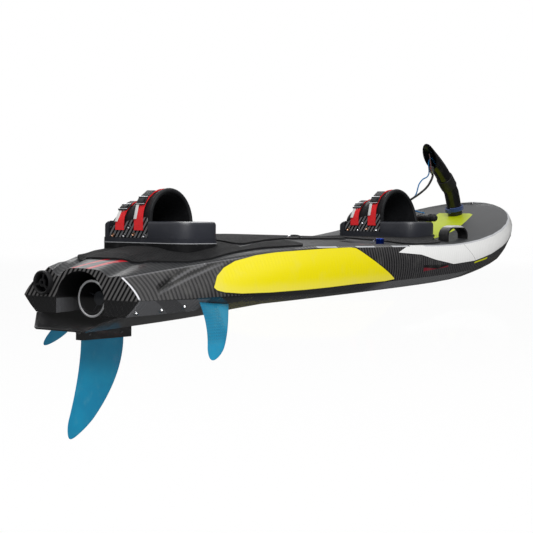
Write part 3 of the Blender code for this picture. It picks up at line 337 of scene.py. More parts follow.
def merged_copy(node, flatten=0.3):
    """A node's mesh with its corners joined and its flat areas made whole."""
    shape = bmesh.new()
    shape.from_mesh(nodes[node].data)
    bmesh.ops.remove_doubles(shape, verts=shape.verts, dist=1e-5)
    if flatten:
        bmesh.ops.dissolve_limit(shape, angle_limit=math.radians(flatten),
                                 verts=shape.verts, edges=shape.edges)
    shape.normal_update()
    return shape


def finish_node(node, name, finishes, crease=32, edge=0.0, flatten=0.3, pick=None):
    """A copy of a CAD node with crisp or rounded edges, which stands for it."""
    shape = merged_copy(node, flatten)
    crease_edges(shape, crease)
    if pick:
        for face in shape.faces:
            face.material_index = pick(face.calc_center_median(), face.normal)
    piece = add_piece(name, shape, finishes, stands_for=(node,))
    return soften(piece, edge, angle=max(crease, 30)) if edge else piece


print("piece helpers ready")

# %% [markdown]
# Two free cords hang from the hollow pole at the bow: the black throttle cable, and the thin blue tether
# that stops the engine when the rider lets go. Each is one smooth line with a round section. The routes
# are the CAD model's own, because the cords have to lie where their solids are.

# %% Hang the cable and the tether
def smooth_path(route, count):
    """Evenly spaced points along a smooth line through the route's points."""
    knots = [Vector(point) for point in route]
    knots = [2 * knots[0] - knots[1]] + knots + [2 * knots[-1] - knots[-2]]
    fine = []
    for a, b, c, d in zip(knots, knots[1:], knots[2:], knots[3:]):
        for step in range(KNOT_STEPS):
            t = step / KNOT_STEPS
            fine.append(0.5 * (2 * b + (c - a) * t + (2 * a - 5 * b + 4 * c - d) * t**2
                               + (3 * b - a - 3 * c + d) * t**3))
    fine.append(knots[-2])
    walked = [0.0]
    for one, two in zip(fine, fine[1:]):
        walked.append(walked[-1] + (two - one).length)
    points = []
    for step in range(count):
        goal = walked[-1] * step / (count - 1)
        index = next((i for i in range(len(fine) - 1) if walked[i + 1] >= goal), len(fine) - 2)
        part = (goal - walked[index]) / max(walked[index + 1] - walked[index], 1e-9)
        points.append(fine[index].lerp(fine[index + 1], min(part, 1.0)))
    return points


def free_cord(name, points, diameter, finish):
    """A cord with a round section."""
    line = bpy.data.curves.new(name, "CURVE")
    line.dimensions = "3D"
    line.bevel_depth = diameter / 2
    line.bevel_resolution = 3
    line.use_fill_caps = True
    spline = line.splines.new("POLY")
    spline.points.add(len(points) - 1)
    for point, place in zip(spline.points, points):
        point.co = (*place, 1.0)
    line.materials.append(finish.material)
    piece = new_object(name, line)
    node = name.replace("hanging_", "")
    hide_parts(node)
    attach(piece, "board")


CABLE_DIAMETER = 0.007
TETHER_DIAMETER = 0.004
BRAID_PITCH = 0.0022
CABLE_POINTS = 40
TETHER_POINTS = 110
KNOT_STEPS = 24

cable_skin = grained("cable_skin", (0.012, 0.012, 0.013), 0.42, (900.0, 3.0), 0.00012,
                     ((0.05, 0.05, 0.052), 0.4, 90.0))
tether_skin = Finish("tether_skin", (0.015, 0.22, 0.50), 0.5)
braid = tether_skin.wave(tether_skin.toward((1, 0, 1)), BRAID_PITCH)
tether_skin.paint(braid, (0.01, 0.10, 0.30), 0.6)
tether_skin.emboss(braid, 0.0003)

CABLE_ROUTE = ((0.64141, 0.0, 0.32688), (0.64442, 0.0, 0.31735), (0.628, 0.001, 0.296),
               (0.609, 0.003, 0.280), (0.580, 0.006, 0.264), (0.547, 0.010, 0.249),
               (0.521, 0.013, 0.237), (0.500, 0.011, 0.222), (0.485, -0.004, 0.207),
               (0.48345, -0.03239, 0.19216), (0.47345, -0.05439, 0.18916))
TETHER_ROUTE = ((0.70063, 0.006, 0.32957), (0.672, 0.0065, 0.356), (0.655, 0.008, 0.372),
                (0.645, 0.0095, 0.3735), (0.638, 0.0105, 0.364), (0.637, 0.0105, 0.350),
                (0.640, 0.0105, 0.336), (0.639, 0.011, 0.324), (0.632, 0.014, 0.315),
                (0.618, 0.018, 0.309), (0.606, 0.020, 0.300), (0.597, 0.021, 0.290),
                (0.591, 0.021, 0.278), (0.586, 0.022, 0.265), (0.576, 0.023, 0.254),
                (0.556, 0.024, 0.246), (0.530, 0.028, 0.241), (0.508, 0.030, 0.236),
                (0.491, 0.020, 0.228), (0.480, -0.002, 0.220), (0.46503, -0.05938, 0.20646),
                (0.45903, -0.08138, 0.20346))

free_cord("hanging_throttle_cable", smooth_path(CABLE_ROUTE, CABLE_POINTS), CABLE_DIAMETER,
          cable_skin)
free_cord("hanging_tether_cord", smooth_path(TETHER_ROUTE, TETHER_POINTS), TETHER_DIAMETER,
          tether_skin)
print("cable and tether hung")

# %% [markdown]
# The studio is white to the camera. A glossy black hull is drawn by what it mirrors, so mirrors see a
# bright ceiling over a dark lower wall, as photographers set up with black flags: the flanks stay deep
# and only the edges that look up turn white. As a light the world is dimmer. The board floats, so the
# floor is the water's surface: a thin sheet at the waterline, clear enough to show the fins under it.

# %% Light the studio
WORLD_LIGHT = 0.55
LOW_WALL = 0.045
LOW_WALL_TOP = 0.16
CEILING_FROM = 0.62
FLOOR_HAZE = 0.008
FLOOR_GLOSS = 0.03
FLOOR_ROUGHNESS = 0.04
FLOOR_HALF = 6.0
FLOOR_CLEAR_FROM = 1.2
FLOOR_CLEAR_AT = 3.2
PURE_WHITE = (1.0, 1.0, 1.0, 1.0)


def add_light(name, place, width, height, power):
    """A rectangular lamp that looks at the middle of the board."""
    data = bpy.data.lights.new(name, "AREA")
    data.shape = "RECTANGLE"
    data.size = width
    data.size_y = height
    data.energy = power
    lamp = new_object(name, data)
    lamp.location = place
    lamp.rotation_euler = (Vector((0.0, 0.0, 0.1)) - Vector(place)).to_track_quat("-Z", "Y").to_euler()


def empty_tree(owner, *kinds):
    """A cleared node tree, and one new node of each kind."""
    owner.use_nodes = True
    tree = owner.node_tree
    tree.nodes.clear()
    return [tree] + [tree.nodes.new("ShaderNode" + kind) for kind in kinds]


def connect(tree, *pairs):
    for source, target in pairs:
        tree.links.new(source, target)


world = bpy.data.worlds.new("studio")
bpy.context.scene.world = world
sky, path, way, parts, mirrored, shown, strength, backdrop, out = empty_tree(
    world, "LightPath", "TexCoord", "SeparateXYZ", "Mix", "Math", "Mix", "Background", "OutputWorld")
sky.links.new(way.outputs["Generated"], parts.inputs[0])
ceiling = smooth_range(sky, parts.outputs[2], LOW_WALL_TOP, CEILING_FROM, LOW_WALL, 1.0)
mirrored.inputs[2].default_value = WORLD_LIGHT
shown.operation = "MAXIMUM"
strength.inputs[3].default_value = 1.0
backdrop.inputs["Color"].default_value = PURE_WHITE
connect(sky, (path.outputs["Is Glossy Ray"], mirrored.inputs[0]), (ceiling, mirrored.inputs[3]),
        (path.outputs["Is Camera Ray"], shown.inputs[0]),
        (path.outputs["Is Transmission Ray"], shown.inputs[1]),
        (shown.outputs[0], strength.inputs[0]), (mirrored.outputs[0], strength.inputs[2]),
        (strength.outputs[0], backdrop.inputs["Strength"]),
        (backdrop.outputs["Background"], out.inputs["Surface"]))

add_light("key", (-1.6, -2.6, 2.6), 2.4, 1.2, 85.0)
add_light("fill", (1.8, 2.4, 2.2), 2.0, 1.2, 30.0)

water = bpy.data.materials.new("clear_water_floor")
wet, clear, haze, gloss, hazy, glossy, spot, far, surface = empty_tree(
    water, "BsdfTransparent", "BsdfDiffuse", "BsdfGlossy", "MixShader", "MixShader", "TexCoord",
    "VectorMath", "OutputMaterial")
haze.inputs["Color"].default_value = PURE_WHITE
gloss.inputs["Roughness"].default_value = FLOOR_ROUGHNESS
hazy.inputs[0].default_value = FLOOR_HAZE
far.operation = "LENGTH"
wet.links.new(spot.outputs["Object"], far.inputs[0])
fade = smooth_range(wet, far.outputs["Value"], FLOOR_CLEAR_FROM, FLOOR_CLEAR_AT, FLOOR_GLOSS, 0.0)
connect(wet, (fade, glossy.inputs[0]), (clear.outputs[0], hazy.inputs[1]), (haze.outputs[0], hazy.inputs[2]),
        (hazy.outputs[0], glossy.inputs[1]), (gloss.outputs[0], glossy.inputs[2]),
        (glossy.outputs[0], surface.inputs["Surface"]))
sheet = bmesh.new()
bmesh.ops.create_grid(sheet, x_segments=1, y_segments=1, size=FLOOR_HALF)
floor_mesh = bpy.data.meshes.new("waterline_floor")
sheet.to_mesh(floor_mesh)
sheet.free()
floor_mesh.materials.append(water)
floor = new_object("waterline_floor", floor_mesh)

# %% [markdown]
# The hull is carbon cloth under clear lacquer. Up close the cloth shows as fine ribs, and light catches
# every other rib. The ribs stand upright on the sides and lean on the transom, because the cloth was
# laid in that direction. Two stripe patterns of different pitch are enough: a broad rib and a fine
# thread. The lacquer is a clear coat on top of a satin black. The crest, where the flank meets the
# deck, and the chine, where it meets the bottom, are known as tables along the board.

# %% Mix the carbon
RIB_PITCH = 0.0106
THREAD_PITCH = 0.0028
CARBON_BLACK = (0.006, 0.006, 0.007)


def carbon_cloth(name, color, light, roughness, across=(1.0, 0.0, 0.0), share=0.8):
    """Lacquered carbon with ribs square to a direction."""
    made = Finish(name, color, roughness, coat=0.25)
    rib = made.wave(made.toward(across), RIB_PITCH, 0.25)
    thread = made.wave(made.toward((1.0, 1.0, 1.0)), THREAD_PITCH, 0.2)
    made.paint(rib, light, share)
    made.paint(thread, grey(0.0), 0.12)
    made.dull(rib, roughness + 0.12, 0.4)
    return made.emboss(rib, 0.0002)


CREST = ((-0.9, 0.1253, 0.052), (-0.85, 0.1401, 0.0593), (-0.8, 0.1547, 0.0665), (-0.74, 0.1718, 0.0747),
         (-0.66, 0.1934, 0.0851), (-0.56, 0.218, 0.097), (-0.44, 0.2437, 0.109), (-0.3, 0.2675, 0.115),
         (-0.15, 0.2855, 0.115), (0, 0.2961, 0.115), (0.15, 0.3003, 0.115), (0.3, 0.3002, 0.1186),
         (0.42, 0.2952, 0.1292), (0.52, 0.2843, 0.1435), (0.6, 0.2689, 0.1586), (0.67, 0.2484, 0.1743),
         (0.73, 0.2234, 0.1897), (0.78, 0.1946, 0.2039), (0.82, 0.1635, 0.2161), (0.85, 0.132, 0.2258),
         (0.875, 0.095, 0.2343), (0.89, 0.0607, 0.2395), (0.9, 0.0, 0.2430))
CHINE = ((-0.9, 0.0), (-0.85, 0.0004), (-0.8, 0.0011), (-0.74, 0.0021), (-0.66, 0.0038), (-0.56, 0.0064),
         (-0.44, 0.0101), (-0.3, 0.0149), (-0.15, 0.0204), (0, 0.0262), (0.15, 0.0321), (0.3, 0.0392),
         (0.42, 0.048), (0.52, 0.0602), (0.6, 0.0751), (0.67, 0.0936), (0.73, 0.1148), (0.78, 0.137),
         (0.82, 0.1583), (0.85, 0.1766), (0.875, 0.1935), (0.89, 0.2044), (0.9, 0.2120))


def along_line(table, x, column):
    """The value of one column of a table at a place along the board."""
    x = min(max(x, table[0][0]), table[-1][0])
    for one, two in zip(table, table[1:]):
        if x <= two[0]:
            return one[column] + (two[column] - one[column]) * (x - one[0]) / (two[0] - one[0])
    return table[-1][column]


print("carbon mixed, crest and chine known at", len(CREST), "places")

# %% [markdown]
# The flanks carry the colours: a long yellow panel towards the stern, a white band towards the bow, and
# small dark accents under it. On the real board they are foils under the lacquer, so they are flat and
# share its gloss. Each is painted between two drawn lines along the board, which needs no unwrapping,
# and both flanks match. The panels stay bare inside.

# %% Paint the flanks
YELLOW_TOP = ((-0.691, 0.026), (-0.673, 0.050), (-0.645, 0.068), (-0.606, 0.083), (-0.541, 0.096),
              (-0.484, 0.102), (-0.412, 0.106), (-0.320, 0.110), (-0.226, 0.1125), (-0.205, 0.1105),
              (-0.190, 0.104), (-0.135, 0.075), (-0.075, 0.045), (-0.050, 0.031))
YELLOW_FOOT = ((-0.691, 0.024), (-0.685, 0.018), (-0.663, 0.013), (-0.614, 0.009), (-0.525, 0.009),
               (-0.408, 0.012), (-0.311, 0.016), (-0.215, 0.021), (-0.090, 0.025), (-0.050, 0.029))
WHITE_TOP = ((-0.028, 0.0985), (0.013, 0.1128), (0.030, 0.1125), (0.050, 0.130), (0.9, 0.26))
WHITE_FOOT = ((-0.028, 0.0975), (0.076, 0.091), (0.143, 0.077), (0.244, 0.063), (0.370, 0.070),
              (0.482, 0.087), (0.626, 0.118), (0.75, 0.158), (0.9, 0.225))
CREASES = (((-0.838, 0.022), (-0.777, 0.054), (-0.727, 0.073), (-0.690, 0.0815)),
           ((-0.838, 0.022), (-0.755, 0.050), (-0.671, 0.076), (-0.640, 0.084)))
WHITE_SEAM = ((0.06, 0.392), (0.13, 0.292))
YELLOW_RIM = 0.0035
WHITE_RIM = 0.0025
YELLOW = (0.86, 0.74, 0.0)
YELLOW_LOW = (0.9, 0.82, 0.25)
WHITE = (0.92, 0.92, 0.91)
ACCENTS = ((((0.086, 0.046), (0.215, 0.056)), ((0.086, 0.062), (0.215, 0.060)), (0.16, 0.01, 0.02)),
           (((0.086, 0.056), (0.16, 0.052), (0.22, 0.061)),
            ((0.086, 0.0625), (0.16, 0.0625), (0.22, 0.0625)), (0.008, 0.008, 0.009)),
           (((0.372, 0.0625), (0.46, 0.074)), ((0.372, 0.0665), (0.46, 0.079)), (0.60, 0.62, 0.0)))
CREASE_HIGHLIGHT = (0.16, 0.16, 0.17)
SHOULDER_HIGHLIGHT = (0.26, 0.26, 0.275)
CORNER_HIGHLIGHT = (0.80, 0.80, 0.84)

flank = carbon_cloth("flank_carbon_and_foils", CARBON_BLACK, (0.068, 0.065, 0.066), 0.24)


def rimmed_panel(lower, upper, rim, rim_color, rim_share, color):
    """A foil between two lines, with a dark rim round it."""
    wider = flank.panel([(x, z - rim) for x, z in lower], [(x, z + rim) for x, z in upper])
    flank.paint(wider, rim_color, rim_share)
    area = flank.panel(lower, upper)
    flank.paint(area, color)
    return area


flank.paint(flank.rise(flank.x, -0.25, 0.30), (0.05, 0.05, 0.055), 0.35)
yellow_area = rimmed_panel(YELLOW_FOOT, YELLOW_TOP, YELLOW_RIM, CARBON_BLACK, 0.85, YELLOW)
near_foot = flank.rise(flank.above(YELLOW_FOOT, flank.x, flank.z), 0.03, 0.0)
flank.paint(flank.both(yellow_area, near_foot), YELLOW_LOW, 0.25)
white_area = rimmed_panel(WHITE_FOOT, WHITE_TOP, WHITE_RIM, (0.01, 0.01, 0.012), 1.0, WHITE)
for lower, upper, color in ACCENTS:
    flank.paint(flank.panel(lower, upper), color)
off_seam = flank.above(WHITE_SEAM, flank.z, flank.x)
flank.paint(flank.both(flank.between(off_seam, -0.001, 0.001, 0.0006), white_area), grey(0.30))
# Each crease: a painted highlight just below it, a dark line of painted shade along it, and a relief.
for crease in CREASES:
    beside = flank.above(crease, flank.x, flank.z)
    off_line = flank.math("ABSOLUTE", beside)
    ends = flank.between(flank.x, crease[0][0], crease[-1][0], 0.01)
    crisp_ends = flank.between(flank.x, crease[0][0], crease[-1][0], 0.004)
    lit_edge = flank.both(flank.between(beside, -0.0085, -0.0045, 0.0015), ends)
    flank.paint(lit_edge, CREASE_HIGHLIGHT, 0.5)
    flank.paint(flank.both(flank.rise(off_line, 0.0032, 0.0014), crisp_ends), grey(0.001))
    flank.emboss(flank.math("SUBTRACT", 1.0, flank.both(flank.rise(off_line, 0.012, 0.0), ends)), 0.006)
over_crest = flank.above([(x, z) for x, _, z in CREST], flank.x, flank.z)
# A painted highlight along the crest's rounded shoulder, towards the stern.
flank.paint(flank.where((over_crest, -0.007, -0.001), (flank.x, -0.52, -0.60)), SHOULDER_HIGHLIGHT, 0.8)
# A thin painted highlight up the flank's corner with the transom.
flank.paint(flank.where((flank.x, -0.8945, -0.8965), (flank.z, 0.0, 0.006)), CORNER_HIGHLIGHT)
flank.dull(flank.math("MAXIMUM", yellow_area, white_area), 0.22)
flank.wear((0.5, 0.5, 0.45), 0.06, 25.0)
print("flank painted")

# %% [markdown]
# The deck is the same carbon, seen almost edge on, so it shows the sky. It turns to a satin dark grey on
# the nose, carries a lime triangle there, a few red foils at the stern, and a painted highlight strip along
# its crest. The bottom has a paler band amidships, a brown tint further forward, and a grey side plate at
# the stern.

# %% Paint the deck, the bottom and the transom
LIME = (0.52, 0.62, 0.005)
LIME_LINE = (0.30, 0.36, 0.01)
DARK_RED = (0.45, 0.01, 0.02)
CREST_HIGHLIGHT = (0.50, 0.51, 0.53)
LIME_LOW = ((0.349, -0.176), (0.480, -0.140), (0.560, -0.120), (0.790, -0.062), (0.802, -0.045))
LIME_HIGH = ((0.349, -0.174), (0.480, -0.095), (0.60, -0.010), (0.700, 0.055), (0.802, 0.066))
STERN_FOILS = ((0.55, -0.525, -0.512, -0.70), (0.8, -0.700, -0.690, -0.77))

deck = carbon_cloth("deck_carbon_and_foils", (0.010, 0.0105, 0.012), (0.030, 0.031, 0.034), 0.40)
deck.put("Coat Weight", 0.06)
deck.put("Specular IOR Level", 0.2)
nose = deck.rise(deck.x, 0.02, 0.16)
deck.paint(nose, (0.036, 0.038, 0.041))
deck.dull(nose, 0.42)
past_crest = deck.above([(x, y) for x, y, _ in CREST], deck.x, deck.math("ABSOLUTE", deck.y))
# A painted highlight strip on the deck along its crest edge, from amidships forward.
deck.paint(deck.where((past_crest, -0.0075, -0.0055), (deck.x, -0.42, -0.34)), CREST_HIGHLIGHT)
deck.paint(deck.panel(LIME_LOW, LIME_HIGH, height=deck.y), LIME)
crown_line = deck.both(deck.between(deck.y, -0.003, 0.003),
                       deck.where((deck.x, 0.30, 0.32), (deck.x, 0.62, 0.60)))
deck.paint(crown_line, LIME_LINE)
for lean, near, far_side, last_x in STERN_FOILS:
    slanted = deck.between(deck.toward((lean, 1.0, 0.0)), near, far_side, 0.0008)
    deck.paint(deck.both(deck.rise(deck.x, last_x, last_x - 0.015), slanted), DARK_RED)
beside_cap = deck.both(deck.between(deck.x, -0.128, -0.058), deck.between(deck.y, -0.244, -0.206))
deck.paint(beside_cap, (0.16, 0.006, 0.010))
deck.wear(grey(0.12), 0.12, 30.0)

underside = carbon_cloth("underside_lacquer", (0.012, 0.0125, 0.014), (0.03, 0.031, 0.034), 0.22)
silver_band = underside.where((underside.x, -0.14, -0.04), (underside.x, 0.40, 0.32))
underside.paint(silver_band, (0.16, 0.162, 0.17))
underside.paint(underside.rise(underside.x, 0.36, 0.46), (0.050, 0.042, 0.038), 0.8)
underside.wear(grey(0.10), 0.25, 18.0)
side_plate = underside.where((underside.x, -0.70, -0.71), (underside.z, 0.0005, -0.001))
underside.paint(side_plate, (0.115, 0.117, 0.125))
# A darker band across the grey side plate is painted shade, standing in for a hollow in it.
hollow = underside.both(side_plate, underside.between(underside.toward((1.0, 0.0, 2.2)), -0.86, -0.80, 0.002))
underside.paint(hollow, (0.040, 0.040, 0.044), 0.7)

transom = carbon_cloth("transom_carbon", CARBON_BLACK, (0.16, 0.155, 0.155), 0.24, (0.0, 0.8, 0.55), 0.9)
transom.paint(transom.rise(transom.z, 0.000, -0.003), CARBON_BLACK)
inside = grained("bay_black", (0.010, 0.010, 0.011), 0.55, (350.0, 4.0), 0.0004, (grey(0.04), 0.3, 40.0))
print("deck, underside, transom and bay mixed")

# %% [markdown]
# The hull itself is the CAD node's own surface with its corners joined, so that light runs smoothly over
# it. Each face takes one of five finishes by where it lies: on the flank between chine and crest, on
# the deck, under the chine, on the transom, or inside a recess.

# %% Finish the hull
FLANK, DECK, UNDERSIDE, TRANSOM, INSIDE = range(5)
CREST_MARGIN = 0.0035
TUNNEL_HALF = 0.074
TUNNEL_TO = -0.4
TRANSOM_FROM = -0.88
BAY_REAR = -0.545
BAY_FRONT = -0.015
BAY_HALF = 0.18
BAY_TOP = 0.1285
LATCH_LEVER_Y = 0.139
LATCH_PLATE_TOP = 0.1325


def hull_region(place, normal):
    """Which finish a face of the hull takes."""
    crest_y, crest_z = along_line(CREST, place.x, 1), along_line(CREST, place.x, 2)
    chine_z = along_line(CHINE, place.x, 1)
    reach = abs(place.y)
    in_bay = BAY_REAR < place.x < BAY_FRONT and reach < BAY_HALF and place.z < BAY_TOP
    if normal.x < -0.6 and place.x < TRANSOM_FROM:
        return TRANSOM
    if in_bay and normal.z > -0.5 and place.z > 0.0:
        return INSIDE
    if place.z < chine_z + 0.0004 and reach > TUNNEL_HALF:
        return UNDERSIDE
    if reach > crest_y - CREST_MARGIN and place.z < crest_z + 0.002:
        return FLANK
    if normal.z > 0.35 and place.z > 0.03:
        return DECK
    return INSIDE if reach < TUNNEL_HALF and place.x < TUNNEL_TO else UNDERSIDE


hull = finish_node("hull", "carbon_hull", (flank, deck, underside, transom, inside), crease=30, flatten=0.15,
                   pick=hull_region)
print("hull:", len(hull.data.polygons), "faces")

# %% [markdown]
# The deck pads and the hatch are covered in soft ribbed foam, milled with a narrow groove every few
# millimetres so that wet feet grip. The grooves are cut into the mesh: three cuts side by side make a
# line that can be pressed down between its neighbours. The foam's closed cells show as a fine grain.

# %% Cover the deck with ribbed foam
RIB_SPACING = 0.0065
GROOVE_HALF = 0.0009
GROOVE_DEPTH = 0.0011

foam = Finish("grip_foam", (0.009, 0.009, 0.010), 0.78, shine=0.2)
foam.put("Sheen Weight", 0.03)
foam.emboss(foam.noise(2600.0, 3.0), 0.00025)
foam.paint(foam.rise(foam.noise(35.0, 4.0), 0.45, 0.75), (0.018, 0.018, 0.019), 0.5)


def ribbed_pad(node, name):
    """A deck pad with grooves across the board."""
    shape = merged_copy(node)
    low = min(vert.co.x for vert in shape.verts)
    high = max(vert.co.x for vert in shape.verts)
    rows = []
    place = low + RIB_SPACING
    while place < high - RIB_SPACING / 2:
        for cut in (place - GROOVE_HALF, place, place + GROOVE_HALF):
            cut_plane(shape, (cut, 0, 0), (1, 0, 0))
        rows.append(place)
        place += RIB_SPACING
    shape.normal_update()
    pressed = [vert for vert in shape.verts
               if min(abs(vert.co.x - row) for row in rows) < 1e-5
               and all(face.normal.z > 0.4 for face in vert.link_faces)]
    for vert in pressed:
        vert.co.z -= GROOVE_DEPTH
    for edge in shape.edges:
        edge.smooth = False
    piece = add_piece(name, shape, foam, stands_for=(node,), smooth=False)
    return piece


for node in ("rear_deck_pad", "front_deck_pad", "hatch_pad"):
    made = ribbed_pad(node, node.replace("_pad", "_foam"))
    print(made.name, len(made.data.polygons), "faces")

lid_shell = carbon_cloth("lid_carbon", (0.014, 0.014, 0.016), (0.05, 0.05, 0.055), 0.3)
finish_node("hatch_lid", "hatch_shell", lid_shell, edge=0.001)


def clouded(name, color, roughness, scale, detail, worn, metallic=1.0):
    """A bright finish with cloudy, duller patches."""
    made = Finish(name, color, roughness, metallic=metallic)
    return made.dull(made.rise(made.noise(scale, detail), 0.4, 0.8), worn)


chrome = clouded("polished_steel", (0.62, 0.63, 0.65), 0.16, 120.0, 4.0, 0.32)
moulded = grained("moulded_black", (0.011, 0.011, 0.012), 0.38, (1400.0, 3.0), 0.00015,
                  (grey(0.06), 0.35, 70.0))


def latch_part(place, normal):
    """The oval plate is black, and the bowed lever over it is bright."""
    return 1 if abs(abs(place.y) - LATCH_LEVER_Y) < 0.004 and place.z > LATCH_PLATE_TOP else 0


for side_name in ("port", "starboard"):
    finish_node(side_name + "_latch", side_name + "_hatch_latch", (moulded, chrome), edge=0.0006,
                pick=latch_part)
print("hatch covered")

# %% [markdown]
# A foot binding is a rubber tray with carbon side plates, a padded arch over the foot and two webbing
# straps. The tray is moulded rubber with a satin skin; the plates are bare carbon held by small screws.
# Under the rear tray a riser reaches down to the sloping deck, ringed by a thin painted highlight.

# %% Build the bindings' trays and side plates
RUBBER_BLACK = (0.024, 0.026, 0.035)
BINDING_HALF = 0.0725
SOLE_HEIGHT = {"rear": 0.13272, "front": 0.14709}
BINDING_X = {"rear": -0.630, "front": 0.380}
ARCH_TOP = {"rear": 0.118, "front": 0.124}
ARCH_SWEEP = {"rear": 0.030, "front": 0.055}
BRACKET_LOW = -0.024
BRACKET_LENGTH = 0.125
TOUCH = 0.0003
PLATE_SCREW_RADIUS = 0.0042
PLATE_SCREW_LIFT = 0.006
PLATE_SCREWS = ((-0.012, 0.0), (0.022, 0.003), (0.052, 0.0), (0.088, 0.0), (0.036, 0.020))
RISER_TOP = 0.1335
RISER_MARGIN = 0.0012
HIGHLIGHT_BAND_TOP = 0.1225
HIGHLIGHT_BAND_HIGH = 0.0016

rubber = grained("satin_rubber", RUBBER_BLACK, 0.34, (900.0, 4.0), 0.0002,
                 ((0.040, 0.043, 0.052), 0.35, 22.0), shine=0.6)
plate_carbon = carbon_cloth("side_plate_carbon", CARBON_BLACK, (0.20, 0.20, 0.21), 0.25, (0.0, 0.9, 0.6), 0.9)
copper = clouded("copper_screw", (0.72, 0.42, 0.28), 0.28, 200.0, 3.0, 0.45)
# A pale finish for the painted highlight band under the rear tray.
highlight_band_finish = clouded("pale_highlight_band", (0.45, 0.46, 0.48), 0.3, 90.0, 3.0, 0.5, metallic=0.0)
riser_rubber = Finish("riser_rubber", RUBBER_BLACK, 0.36, shine=0.6)
riser_rubber.paint(riser_rubber.rise(riser_rubber.z, HIGHLIGHT_BAND_TOP, HIGHLIGHT_BAND_TOP - HIGHLIGHT_BAND_HIGH), (0.005, 0.005, 0.006))
riser_rubber.wear((0.06, 0.06, 0.065), 0.3, 40.0)


def bolt_head(name, place, outward, radius, finish):
    """A round screw head with a round socket, set on a surface."""
    shape = bmesh.new()
    bmesh.ops.create_cone(shape, cap_ends=True, segments=20, radius1=radius, radius2=radius * 0.86,
                          depth=radius * 0.8)
    top = max(shape.faces, key=lambda face: face.calc_center_median().z)
    bmesh.ops.inset_individual(shape, faces=[top], thickness=radius * 0.42, depth=0.0)
    bmesh.ops.translate(shape, verts=top.verts, vec=(0, 0, -radius * 0.4))
    bmesh.ops.translate(shape, verts=shape.verts, vec=(0, 0, radius * 0.3))
    crease_edges(shape, 40)
    turn_and_move(shape, shape.verts, place, Vector(outward).to_track_quat("Z", "Y").to_matrix())
    add_piece(name, shape, finish)


for end in ("rear", "front"):
    finish_node(end + "_binding_bumper", end + "_foot_tray", rubber, crease=38, edge=0.0035)
    for place in ("rear", "front"):
        node = f"{end}_binding_{place}_bracket"
        finish_node(node, f"{end}_foot_{place}_plate", plate_carbon, edge=0.0006)
        outer, way = (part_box(node)[0][0], -1) if place == "rear" else (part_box(node)[1][0], 1)
        low = SOLE_HEIGHT[end] + PLATE_SCREW_LIFT
        for index, (y, lift) in enumerate(PLATE_SCREWS):
            if place == "front" and y < 0.0:
                continue
            bolt_head(f"{end}_{place}_plate_screw_{index + 1}", (outer, y, low + lift), (way, 0, 0),
                      PLATE_SCREW_RADIUS, copper if index % 2 else chrome)

# The riser, darker below the band, and a thin pale ring round it that is a painted highlight.
for name, top, foot, margin, finish in (
        ("rear_tray_riser", RISER_TOP, None, RISER_MARGIN, riser_rubber),
        ("rear_tray_highlight_band", HIGHLIGHT_BAND_TOP, HIGHLIGHT_BAND_TOP - HIGHLIGHT_BAND_HIGH, RISER_MARGIN * 1.5, highlight_band_finish)):
    riser = merged_copy("rear_binding_bumper")
    cut_plane(riser, (0, 0, top), (0, 0, 1), clear_outer=True)
    if foot:
        cut_plane(riser, (0, 0, foot), (0, 0, 1), clear_inner=True)
    close_holes(riser)
    for vert in riser.verts:
        along = math.copysign(margin, vert.co.x - BINDING_X["rear"])
        vert.co += Vector((along, math.copysign(margin, vert.co.y), 0))
    crease_edges(riser, 38)
    add_piece(name, riser, finish)
print("trays and plates built")

# %% [markdown]
# The arch is neoprene foam: soft, thick, with a rolled edge towards the heel. It starts as a flat grid,
# each vertex of which is moved to its place on the arch, then gets its thickness from the solidify
# operator and its roundness from a subdivision surface. The roll is a tube along the heel edge.

# %% Pad the arches
ARCH_WALL_SHARE = 0.42
ARCH_TOE_DROP = 0.50
ARCH_THICKNESS = 0.010
ARCH_ACROSS = 12
ARCH_AROUND = 44
BRACKET_THICKNESS = 0.003
STRAP_THICKNESS = 0.003
ARCH_SPAN = BINDING_HALF - STRAP_THICKNESS - TOUCH * 4 - BRACKET_THICKNESS
ROLL_RADIUS = 0.0058
ROLL_SUNK = 0.0014
ROLL_STEPS = 40

neoprene = grained("neoprene_foam", (0.008, 0.0085, 0.010), 0.55, (1500.0, 3.0), 0.00022,
                   ((0.025, 0.026, 0.030), 0.4, 30.0), shine=0.25)
neoprene.put("Sheen Weight", 0.04)
neoprene.emboss(neoprene.noise(45.0, 2.0), 0.0012)


def arch_height(end, reach):
    return ARCH_TOP[end] * (1.0 - ARCH_TOE_DROP * max(reach, 0.0)**1.4)


def arch_spot(end, reach, turn, lift=0.0):
    """A place on the arch: reach runs from heel edge to toe edge, and turn from front foot to rear foot."""
    top = arch_height(end, reach) + lift
    wall = arch_height(end, reach) * ARCH_WALL_SHARE
    span = ARCH_SPAN + lift
    hoop = math.pi * (span + top - wall) / 2
    walked = turn * (2 * wall + hoop)
    if walked < wall:
        x, z = span, walked
    elif walked > wall + hoop:
        x, z = -span, 2 * wall + hoop - walked
    else:
        angle = math.pi * (walked - wall) / hoop
        x, z = span * math.cos(angle), wall + (top - wall) * math.sin(angle)
    back = ARCH_SWEEP[end] * (1 - reach) * (1 - turn)**2
    y = BRACKET_LOW + TOUCH + (BRACKET_LENGTH - 2 * TOUCH) * reach - back
    return Vector((BINDING_X[end] + x, y, SOLE_HEIGHT[end] + TOUCH + z))


def arch_outward(end, reach, turn):
    """The direction straight out of the arch at a place."""
    along = arch_spot(end, reach, min(turn + 0.004, 1.0)) - arch_spot(end, reach, max(turn - 0.004, 0.0))
    across = arch_spot(end, min(reach + 0.01, 1.0), turn) - arch_spot(end, max(reach - 0.01, 0.0), turn)
    return across.cross(along).normalized()


def roll_spot(end, share):
    """A place on the roll's middle line, which runs just inside the arch's heel edge."""
    outward = arch_outward(end, 0.03, 0.02 + 0.96 * share)
    return arch_spot(end, 0.022, 0.015 + 0.97 * share) - outward * (ROLL_RADIUS - ROLL_SUNK)


